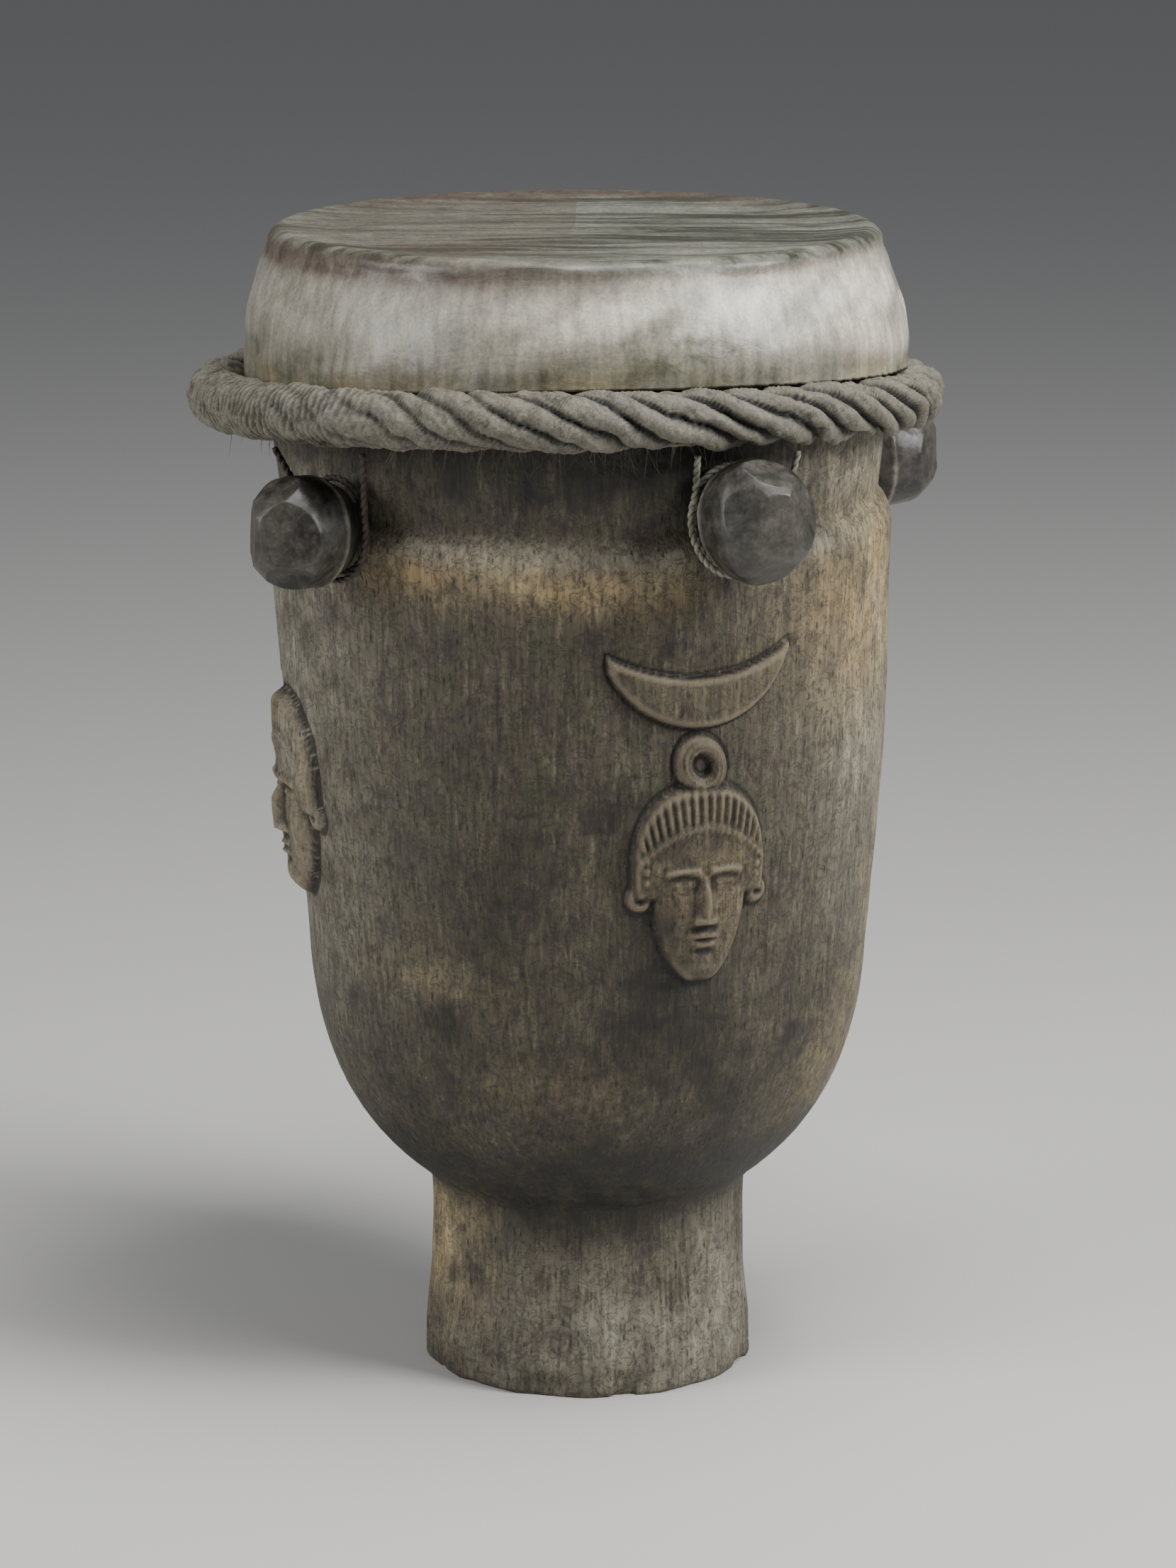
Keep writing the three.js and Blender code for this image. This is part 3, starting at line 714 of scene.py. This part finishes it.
def dry_hide():
    """Olive-grey hide, made nearly black in its creases by painted shade and pale on its proud edges by a
    painted highlight.
    """
    material, tree, shader = finish("dry_hide")
    plain = stretched(tree, 1, 1, 1)
    patchy = grain(tree, plain, 45, 4, 0.6)
    fibres = grain(tree, plain, 620, 6, 0.7, 0.8)
    clouds = steps(tree, grain(tree, plain, 21, 3, 0.6), 0.42, 0.6)
    tint = colour_mix(tree, clouds, HIDE_OLIVE, HIDE_GREY)
    tan = colour_mix(tree, steps(tree, patchy, 0.4, 0.66), tint, HIDE_TAN)
    # Painted highlight on the proud edges.
    highlighted = colour_mix(tree, product(tree, mask(tree, "raised_edge_highlight"), 0.55), tan, HIDE_HIGHLIGHT)
    # Painted shade in the creases.
    dark = colour_mix(tree, mask(tree, "crevice_shade"), highlighted, HIDE_CREVICE_SHADE)
    lined = colour_mix(tree, 0.6, dark, fibre_tone(tree, fibres), "OVERLAY")
    roughness = steps(tree, patchy, 0.3, 0.7, 0.45, 0.75)
    coat(tree, shader, lined, roughness, bump(tree, fibres, 0.7, 0.0009))
    return material


hoop.data.materials.append(dry_hide())
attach(hoop, "root")
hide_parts("tension_hoop")

# ---------- The frayed hair ----------
# Hair left on the hide, worked loose where the strips are twisted. It hangs from the underside of the hoop
# over the neck, thickest at the front, with stray hairs all round.

HAIRS, HAIR_THICK, HAIR_CORNERS = 240, 0.42, 3
HAIR_LENGTHS = (6, 19)
HAIR_RINGS = (0, 0.35, 0.7, 1)
HAIR_BROWN, HAIR_GREY = (0.018, 0.015, 0.012, 1), (0.1, 0.09, 0.065, 1)
chance = np.random.default_rng(7)


def hanging_hair(angle, length, drift):
    """Four rings of three corners that taper to a point, from under the hoop down in front of the neck."""
    radius, height = hoop_line(angle)
    start = radius - HOOP_THICK * chance.uniform(0.2, 0.85)
    rings = []
    for share in HAIR_RINGS:
        turn = angle + drift * share**2
        out = start + 1.2 * math.sin(3 * share + angle)
        middle = np.array([turn, out, height - HOOP_THICK * 0.55 - length * share])
        thin = HAIR_THICK * (1.03 - share)
        corners = ((-thin, 0), (thin, 0), (0, thin))
        rings.append([middle + (math.degrees(across / radius), out, 0) for across, out in corners])
    return np.array(rings)


def hair_fringe():
    corners, faces = [], []
    for k in range(HAIRS):
        angle = chance.normal(-2, 17) if k % 3 else chance.uniform(-180, 180)
        rings = hanging_hair(angle, chance.uniform(*HAIR_LENGTHS), chance.normal(0, 2.2))
        base = len(corners)
        corners.extend(straight_placed(*rings.reshape(-1, 3).T).tolist())
        for row in range(len(HAIR_RINGS) - 1):
            low = base + row * HAIR_CORNERS
            high = low + HAIR_CORNERS
            for i in range(HAIR_CORNERS):
                beside = (i + 1) % HAIR_CORNERS
                faces.append((low + i, high + i, high + beside, low + beside))
        faces.append((base, base + 1, base + 2))
        faces.append((high + 2, high + 1, high))
    mesh = bpy.data.meshes.new("frayed_hair")
    mesh.from_pydata(corners, [], faces)
    return set_out("frayed_hair", mesh)


def dark_hair():
    material, tree, shader = finish("dark_hair")
    tone = grain(tree, stretched(tree, 1, 1, 0.3), 300, 3, 0.6)
    brown = colour_mix(tree, steps(tree, tone, 0.35, 0.65), HAIR_BROWN, HAIR_GREY)
    tree.links.new(brown, shader.inputs["Base Color"])
    shader.inputs["Roughness"].default_value = 0.6
    return material


fringe = hair_fringe()
fringe.data.materials.append(dark_hair())
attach(fringe, "root")

# ---------- The drumhead ----------
# One skin, scraped to rawhide and shrunk wet over the collar: a flat, rippled playing face, a sharp rim and a
# side that flares down onto the hoop. Its hem is pleated where the hoop grips it.

PLEATS, PLEAT_DEPTH, SIDE_ROWS, FACE_ROWS = 64, 1.3, 58, 62
FACE_OLIVE, FACE_CREAM = (0.035, 0.04, 0.027, 1), (0.2, 0.2, 0.165, 1)
SIDE_GREY, SIDE_TAN, SIDE_CREAM = (0.17, 0.165, 0.14, 1), (0.3, 0.28, 0.24, 1), (0.4, 0.37, 0.31, 1)
SKIN_SHEEN, HEM_OCHRE = (0.66, 0.62, 0.54, 1), (0.3, 0.235, 0.11, 1)
OLIVE_STAIN_AND_SHADE, BROWN_STAIN = (0.1, 0.1, 0.065, 1), (0.08, 0.055, 0.04, 1)


def hem_height(angle):
    """Lowest height of the skin, where it meets the top of the hoop."""
    radius, height = hoop_line(angle)
    skin = HEAD_WIDEST + lean(float(WIDEST_HEIGHT)) * np.sin(np.radians(angle))
    return height + np.sqrt((HOOP_THICK + 0.3) ** 2 - (radius - skin) ** 2) + 0.7


def head_rows():
    """Radius and height up the side of the skin, over the rim and in to the middle of the face."""
    outline = head_outline()
    length = np.concatenate([[0], np.cumsum(np.hypot(*np.diff(outline, axis=0).T))])
    along = np.linspace(0, length[-1], SIDE_ROWS)
    side = np.stack([np.interp(along, length, outline[:, 0]), np.interp(along, length, outline[:, 1])], 1)
    face = [(r, HEIGHT) for r in np.linspace(HEAD_RIM - 9.5, 1.2, FACE_ROWS)]
    return np.vstack([side, face])


def drumhead_surface(columns=600):
    """The outer face of the skin, and where it is pleated, raised and rippled."""
    angle = np.linspace(-180, 180, columns, endpoint=False)[None, :]
    rows = head_rows()
    radius = rows[:, :1] * np.ones(angle.shape)
    lowest = hem_height(angle) - 1.6
    drop = (1 - smooth(rows[:, 1:], SKIRT_HEIGHT, 474)) * (SKIRT_HEIGHT - lowest)
    height = rows[:, 1:] - drop
    points = placed(angle, radius, height) / MM
    broad = lumps(points, 60, 21)
    ripple = lumps(points * (0.22, 1, 1), 12, 22)
    slanting = points @ np.array([[1, 0, 0.5], [0, 1, 0], [-0.5, 0, 1]]).T
    strain = lumps(slanting * (0.45, 0.45, 1), 13, 24)
    pinch = lumps(points * (1, 1, 0.25), 5, 23)
    slack = 1 - smooth(radius, HEAD_RIM - 12, HEAD_RIM - 6)
    face = rows[:, 1:] > HEIGHT - 0.5
    dished = -1.3 * (1 - smooth(radius, HEAD_RIM - 30, HEAD_RIM - 9)) - 0.7 + ripple * 0.8 + broad * 0.5
    height = height + np.where(face, dished * slack, 0)
    side = smooth(HEIGHT - height, 2, 10)
    pull = 0.4 + 0.9 * hill(turn_between(angle, 62), 34) + 0.3 * hill(turn_between(angle, -30), 30)
    pleats = np.abs(np.sin(np.radians(angle) * PLEATS + broad * 4)) ** 0.6 - 0.6
    near_hem = hill((height - lowest) / 13, 1)
    rim_dents = hill(HEIGHT - height - 4, 4) * lumps(points, 17, 25) * 0.9
    radius = radius + side * (broad * 0.7 + pinch * 0.3 + strain * 0.8 - 0.9) + rim_dents - 0.3
    radius = radius + near_hem * pleats * pull * PLEAT_DEPTH - near_hem * 0.5
    return angle, radius, height, near_hem, broad, strain


head_angle, head_radius, head_height, head_hem, head_broad, head_strain = drumhead_surface()
head_side = smooth(HEIGHT - head_height, 2, 8)
head_outside = placed(head_angle, head_radius, head_height)
under_radius = head_radius - HEAD_THICKNESS * head_side
under_height = head_height - HEAD_THICKNESS * (1 - head_side)
head_inside = placed(head_angle, under_radius, under_height)[::-4]
head = skin_of_quads("rawhide_head", np.concatenate([head_inside, head_outside]))


def whole_head(values):
    """Mask values for the outside of the skin, with none for the inside."""
    values = values * np.ones(head_radius.shape)
    return np.concatenate([np.zeros(head_inside.shape[:2]), values]).ravel()


def on_head(angle, turn_width, height, height_width):
    """A soft patch on the skin's side, round an angle and a height."""
    beside = hill(turn_between(head_angle, angle), turn_width)
    return head_side * beside * hill(head_height - height, height_width)


rim_band = hill(HEIGHT - head_height - 7, 6) * (0.25 + 0.75 * smooth(turn_between(head_angle, 0), 20, -40))
back_stain = hill(head_radius - 124, 12) * hill(turn_between(head_angle, 176), 42) * (1 - head_side)
olive = on_head(16, 26, 456, 15) * 1.3 + on_head(-20, 24, 478, 10) * 0.6 + on_head(-58, 16, 452, 14) * 0.7
# Painted shade: the side is darkened olive in the troughs of the strain wrinkles; the other olive patches and
# the band at the hem are stains.
olive += 0.35 * head_side * smooth(-head_strain, 0.1, 0.5) + head_hem * 0.4
pale = on_head(48, 30, 480, 13) * 1.2 + on_head(-2, 30, 476, 9) * 0.8 + on_head(66, 24, 456, 20) * 0.6
paint_mask(head, "side", whole_head(head_side))
paint_mask(head, "hem", whole_head(head_hem * (1 + head_broad)))
paint_mask(head, "brown_stain", whole_head(rim_band * 1.2 + back_stain * 1.5))
paint_mask(head, "olive_stain_and_wrinkle_shade", whole_head(olive * (1 + 1.2 * head_broad)))
paint_mask(head, "pale_sheen", whole_head(pale * (1 + head_strain)))


def rawhide():
    """Scraped skin: streaked olive and cream on its face, cloudy cream, grey and ochre down its side."""
    material, tree, shader = finish("rawhide")
    plain = stretched(tree, 1, 1, 1)
    cloudy = grain(tree, plain, 17, 4, 0.6)
    mottle = grain(tree, plain, 75, 6, 0.68)
    streaks = grain(tree, stretched(tree, 0.12, 1, 1), 85, 5, 0.6, 0.6)
    upright = grain(tree, stretched(tree, 1, 1, 0.1), 210, 4, 0.6)
    fibres = grain(tree, plain, 650, 5, 0.7)
    face = colour_mix(tree, steps(tree, streaks, 0.4, 0.6), FACE_OLIVE, FACE_CREAM)
    dusk = colour_mix(tree, steps(tree, cloudy, 0.35, 0.65), SIDE_GREY, SIDE_TAN)
    skirt = colour_mix(tree, steps(tree, mottle, 0.35, 0.68, 0, 0.8), dusk, SIDE_CREAM)
    pale = product(tree, mask(tree, "pale_sheen"), steps(tree, mottle, 0.25, 0.6, 0.4, 1))
    bright = colour_mix(tree, pale, skirt, SKIN_SHEEN)
    skin = colour_mix(tree, mask(tree, "side"), face, bright)
    ochre = product(tree, mask(tree, "hem"), steps(tree, cloudy, 0.42, 0.58))
    hemmed = colour_mix(tree, product(tree, ochre, 0.7), skin, HEM_OCHRE)
    # Olive stains, with painted shade in the wrinkle troughs.
    olive = product(tree, mask(tree, "olive_stain_and_wrinkle_shade"), steps(tree, mottle, 0.3, 0.62))
    stained = colour_mix(tree, olive, hemmed, OLIVE_STAIN_AND_SHADE)
    browned = product(tree, mask(tree, "brown_stain"), steps(tree, mottle, 0.25, 0.6, 0.4, 1))
    dark = colour_mix(tree, browned, stained, BROWN_STAIN)
    drawn = colour_mix(tree, 0.35, dark, fibre_tone(tree, upright), "OVERLAY")
    lined = colour_mix(tree, 0.35, drawn, fibre_tone(tree, fibres), "OVERLAY")
    relief = bump(tree, mottle, 0.4, 0.0006, bump(tree, streaks, 0.5, 0.0014))
    coat(tree, shader, lined, steps(tree, mottle, 0.3, 0.7, 0.3, 0.52), relief)
    return material


head.data.materials.append(rawhide())
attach(head, "root")
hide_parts("drumhead")

# ---------- The pegs ----------
# Four hardwood pegs, driven through the neck, with whittled heads like blunt buds. Years of hammering and
# handling have blackened them, and rubbed their ridges and end faces grey.

PEG_SHAFT, PEG_TAPER, PEG_INNER, PEG_NECK = 9.5, 1.0, 113.5, 135.0
KNOB_CORNERS, KNOB_TALL, KNOB_UNEVEN = 24, 1.14, 0.04
KNOB_RINGS = ((0, 11.5), (6, 17), (15, 22), (32, 22.5), (42, 17), (48, 9))
KNOB_MIDDLE, KNOB_GIRTH, CUT_DEPTH, RIM_RISE = 25.0, 24.0, 3.6, 15.5
MELT_SIZE, EASE_ROUNDS = 0.7, 30
PEG_BROWN, PEG_BLACK, PEG_GREY = (0.015, 0.012, 0.010, 1), (0.021, 0.021, 0.017, 1), (0.08, 0.072, 0.06, 1)
PEG_RUBBED, PEG_END = (0.3, 0.28, 0.23, 1), (0.09, 0.083, 0.07, 1)
# A flat is cut square to a direction, given by its turn round the peg and its tilt from the peg's axis.
PEGS = (
    {
        "name": "left", "angle": -45.5, "height": 387.0, "tilt": 0.0, "size": 0.93, "roll": 0.4,
        "flats": ((176, 36), (8, 44), (92, 60), (-62, 62), (-128, 60)),
    },
    {
        "name": "front", "angle": 27.0, "height": 394.0, "tilt": 6.0, "size": 1.0, "roll": 1.1,
        "flats": ((168, 44), (205, 9), (8, 36), (88, 58), (-88, 60)),
    },
    {
        "name": "right", "angle": 121.0, "height": 387.0, "tilt": 2.0, "size": 0.95, "roll": 2.3,
        "flats": ((180, 52), (60, 55), (-70, 50), (0, 40), (20, 8)),
    },
    {
        "name": "back", "angle": 216.0, "height": 386.0, "tilt": 1.5, "size": 0.96, "roll": 3.2,
        "flats": ((30, 48), (102, 55), (174, 46), (246, 52), (318, 55)),
    },
)


def peg_frame(peg):
    """Millimetres in a peg's own frame, with Z along its shaft, to metres in the drum's frame."""
    angle = math.radians(peg["angle"])
    rise = math.tan(math.radians(peg["tilt"]))
    out = Vector((math.sin(angle), -math.cos(angle), rise)).normalized()
    side = Vector((math.cos(angle), math.sin(angle), 0))
    up = out.cross(side)
    start = Vector((lean(peg["height"]), 0, peg["height"] - NECK_RADIUS * rise))
    turned = Matrix((side, up, out)).transposed().to_4x4()
    return Matrix.Translation((AXIS_X, AXIS_Y, 0)) @ Matrix.Scale(MM, 4) @ Matrix.Translation(start) @ turned


def knob_points(peg):
    for k, (at, ring_radius) in enumerate(KNOB_RINGS):
        for i in range(KNOB_CORNERS):
            turn = 2 * math.pi * i / KNOB_CORNERS + peg["roll"]
            uneven = 1 + KNOB_UNEVEN * math.sin(3 * turn + 2.1 * k + peg["roll"] * 7)
            radius = ring_radius * peg["size"] * uneven
            yield Vector((math.cos(turn) * radius, math.sin(turn) * radius * KNOB_TALL, PEG_NECK + at))


def rough_peg(peg):
    """The knob and the shaft melted into one body and rounded."""
    made = bmesh.new()
    corners = [made.verts.new(p) for p in knob_points(peg)]
    bmesh.ops.convex_hull(made, input=corners)
    length = PEG_NECK + 8 - PEG_INNER
    middle = Matrix.Translation((0, 0, PEG_INNER + length / 2))
    thin = PEG_SHAFT - PEG_TAPER
    bmesh.ops.create_cone(
        made, cap_ends=True, segments=40, radius1=thin, radius2=PEG_SHAFT, depth=length, matrix=middle
    )
    mesh = bpy.data.meshes.new("peg")
    made.to_mesh(mesh)
    made.free()
    knob = set_out("carved_peg_" + peg["name"], mesh)
    melt = knob.modifiers.new("melt", "REMESH")
    melt.mode = "VOXEL"
    melt.voxel_size = MELT_SIZE
    ease = knob.modifiers.new("ease", "SMOOTH")
    ease.iterations = EASE_ROUNDS
    ease.factor = 0.6
    solid = bpy.data.meshes.new_from_object(knob.evaluated_get(bpy.context.evaluated_depsgraph_get()))
    knob.modifiers.clear()
    knob.data = solid
    return knob


def whittled(points, peg):
    """Presses the points beyond each flat back onto it."""
    middle = np.array([0, 0, PEG_NECK + KNOB_MIDDLE])
    for turn, tilt in peg["flats"]:
        turn, tilt = math.radians(turn), math.radians(tilt)
        sideways = math.sin(tilt)
        facing = np.array([sideways * math.cos(turn), sideways * math.sin(turn), math.cos(tilt)])
        reach = KNOB_GIRTH * (peg["size"] + (KNOB_TALL - 1) * abs(facing[1])) - CUT_DEPTH
        beyond = np.clip((points - middle) @ facing - reach, 0, None)
        points = points - beyond[:, None] * facing
    return points


for peg in PEGS:
    knob = rough_peg(peg)
    points = np.array([v.co for v in knob.data.vertices])
    points = whittled(points, peg)
    spread = np.hypot(points[:, 0], points[:, 1])[:, None]
    outward = points * (1, 1, 0) / np.maximum(spread, 1)
    rim = hill(points[:, 2] - PEG_NECK - RIM_RISE, 1.1)
    cuts = lumps(points * (1, 1, 0.5), 8, 31 + peg["roll"]) * 0.3 + lumps(points, 2.5, 32) * 0.08 - 0.2
    points = points + outward * (cuts + rim * 0.5)[:, None]
    knob.data.vertices.foreach_set("co", points.astype(np.float32).ravel())
    knob.data.update()
    stands_out = ridges(knob.data, 3)
    end_share = smooth(points[:, 2], PEG_NECK + 37, PEG_NECK + 43)
    knob.data.transform(peg_frame(peg))
    knob.data.shade_smooth()
    paint_mask(knob, "ridge", smooth(stands_out, 0.1, 0.3) + rim * 0.6)
    paint_mask(knob, "end", end_share)
    peg["piece"] = knob


def blackened_wood():
    """Hard wood, black with grease and polished by hands, grey where its edges are rubbed."""
    material, tree, shader = finish("blackened_wood")
    plain = stretched(tree, 1, 1, 1)
    cloud = grain(tree, plain, 40, 3, 0.6)
    mottle = grain(tree, plain, 110, 6, 0.68)
    fibre = grain(tree, plain, 480, 5, 0.65)
    umber = colour_mix(tree, steps(tree, cloud, 0.4, 0.6), PEG_BROWN, PEG_BLACK)
    base = colour_mix(tree, steps(tree, mottle, 0.4, 0.7), umber, PEG_GREY)
    rubbed = product(tree, mask(tree, "ridge"), steps(tree, mottle, 0.35, 0.6, 0.35, 1))
    edged = colour_mix(tree, rubbed, base, PEG_RUBBED)
    ended = colour_mix(tree, product(tree, mask(tree, "end"), 0.35), edged, PEG_END)
    lined = colour_mix(tree, 0.45, ended, fibre_tone(tree, fibre), "OVERLAY")
    roughness = steps(tree, mottle, 0.3, 0.7, 0.3, 0.52)
    coat(tree, shader, lined, roughness, bump(tree, mottle, 0.35, 0.0006))
    return material


peg_finish = blackened_wood()
for peg in PEGS:
    peg["piece"].data.materials.append(peg_finish)
    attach(peg["piece"], "root")
    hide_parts("peg_" + peg["name"])

# ---------- The lashings ----------
# A two-ply cord for each peg: it leaves the underside of the hoop, takes a turn and a half round the flared
# neck of the knob, and goes back up to the hoop. The front one is pale with dust, and the others are dark.

CORD_RADIUS, CORD_TURNS, CORD_PITCH, CORD_SPREAD, FIT = 1.5, 1.5, 3.2, 9.5, 0.3
COIL_STEPS, BEND_STEPS, CORD_SIDES = 24, 24, 20
PLY_LAY, PLY_GROOVE = 7.5, 0.38
DARK_CORD = (0.075, 0.055, 0.042, 1), (0.022, 0.016, 0.013, 1)
PALE_CORD = (0.3, 0.29, 0.23, 1), (0.12, 0.115, 0.085, 1)
CORD_GROOVE_SHADE = (0.01, 0.008, 0.007, 1)


def under_hoop(angle):
    radius, height = hoop_line(angle)
    return Vector(straight_placed(angle, radius, height - HOOP_THICK - CORD_RADIUS - FIT))


def lashing_route(peg):
    """Points from the hoop down to the flared neck of the knob, round it and back up, in metres."""
    frame_of_peg = peg_frame(peg)
    (_, narrow), (wide_at, wide) = KNOB_RINGS[:2]
    flare = (wide - narrow) / wide_at
    lift = (CORD_RADIUS + FIT) * math.hypot(1, flare) + 0.8
    coil = []
    for i in range(int(CORD_TURNS * COIL_STEPS) + 1):
        turn = math.pi + 2 * math.pi * i / COIL_STEPS
        at = CORD_RADIUS + CORD_PITCH * i / COIL_STEPS
        ring = (narrow + flare * at) * peg["size"] * (1 + KNOB_UNEVEN) + lift
        beside, above = math.cos(turn) * ring, math.sin(turn) * ring * KNOB_TALL
        coil.append(frame_of_peg @ Vector((beside, above, PEG_NECK + at)))
    first = under_hoop(peg["angle"] - CORD_SPREAD)
    last = under_hoop(peg["angle"] + CORD_SPREAD)
    return [first, first.lerp(coil[0], 0.5), *coil, last.lerp(coil[-1], 0.5), last]


def through(points, spacing):
    """A smooth line through points, with even steps, as an array."""
    knots = np.array(points)
    padded = np.vstack([2 * knots[0] - knots[1], knots, 2 * knots[-1] - knots[-2]])
    pieces = []
    for a, b, c, d in zip(padded, padded[1:], padded[2:], padded[3:]):
        t = np.linspace(0, 1, BEND_STEPS, endpoint=False)[:, None]
        bend = (2 * a - 5 * b + 4 * c - d) * t**2 + (3 * b - a - 3 * c + d) * t**3
        pieces.append(0.5 * (2 * b + (c - a) * t + bend))
    line = np.vstack([*pieces, knots[-1:]])
    length = np.concatenate([[0], np.cumsum(np.linalg.norm(np.diff(line, axis=0), axis=1))])
    even = np.linspace(0, length[-1], int(length[-1] / spacing) + 1)
    return np.stack([np.interp(even, length, line[:, k]) for k in range(3)], 1), even


def two_ply_cord(name, route):
    """A cord of two plies laid round each other, as one skin that dips between them."""
    line, along = through(route, 0.5 * MM)
    forward = np.gradient(line, axis=0)
    forward /= np.linalg.norm(forward, axis=1)[:, None]
    side = np.cross(forward[0], (0, 0, 1))
    sides = []
    for direction in forward:
        side = side - direction * (side @ direction)
        side = side / np.linalg.norm(side)
        sides.append(side)
    sides = np.array(sides)[:, None]
    ups = np.cross(forward[:, None], sides)
    section = np.linspace(0, 2 * np.pi, CORD_SIDES, endpoint=False)[None, :]
    twist = section - (along / MM / PLY_LAY * 2 * np.pi)[:, None]
    groove = 1 - np.abs(np.cos(twist))
    round_about = np.tile(np.cos(section), (len(line), 1)).reshape(-1, 1)
    hairs = lumps((line / MM).repeat(CORD_SIDES, 0) + round_about, 1.3, 41)
    thick = (CORD_RADIUS * (1 - PLY_GROOVE * groove**1.6) + 0.1 * hairs.reshape(groove.shape) - 0.08) * MM
    outward = np.cos(section)[..., None] * sides + np.sin(section)[..., None] * ups
    cord = skin_of_quads(name, line[:, None] + outward * thick[..., None])
    # Painted shade: the groove between the plies, for the finish to darken.
    paint_mask(cord, "groove", groove**2)
    return cord


def greasy_cord(name, light, dark):
    material, tree, shader = finish(name)
    plain = stretched(tree, 1, 1, 1)
    mottle = grain(tree, plain, 120, 4, 0.6)
    fibre = grain(tree, plain, 900, 4, 0.7)
    base = colour_mix(tree, steps(tree, mottle, 0.35, 0.65), dark, light)
    # Painted shade, near black, in the groove between the plies.
    shaded = colour_mix(tree, product(tree, mask(tree, "groove"), 0.8), base, CORD_GROOVE_SHADE)
    lined = colour_mix(tree, 0.5, shaded, fibre_tone(tree, fibre), "OVERLAY")
    coat(tree, shader, lined, 0.75, bump(tree, fibre, 0.6, 0.0003))
    return material


dark_cord = greasy_cord("greasy_cord", *DARK_CORD)
pale_cord = greasy_cord("dusty_cord", *PALE_CORD)
for peg in PEGS:
    lashing = two_ply_cord("lashing_cord_" + peg["name"], lashing_route(peg))
    lashing.data.materials.append(pale_cord if peg["name"] == "front" else dark_cord)
    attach(lashing, "root")
    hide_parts("lashing_" + peg["name"])
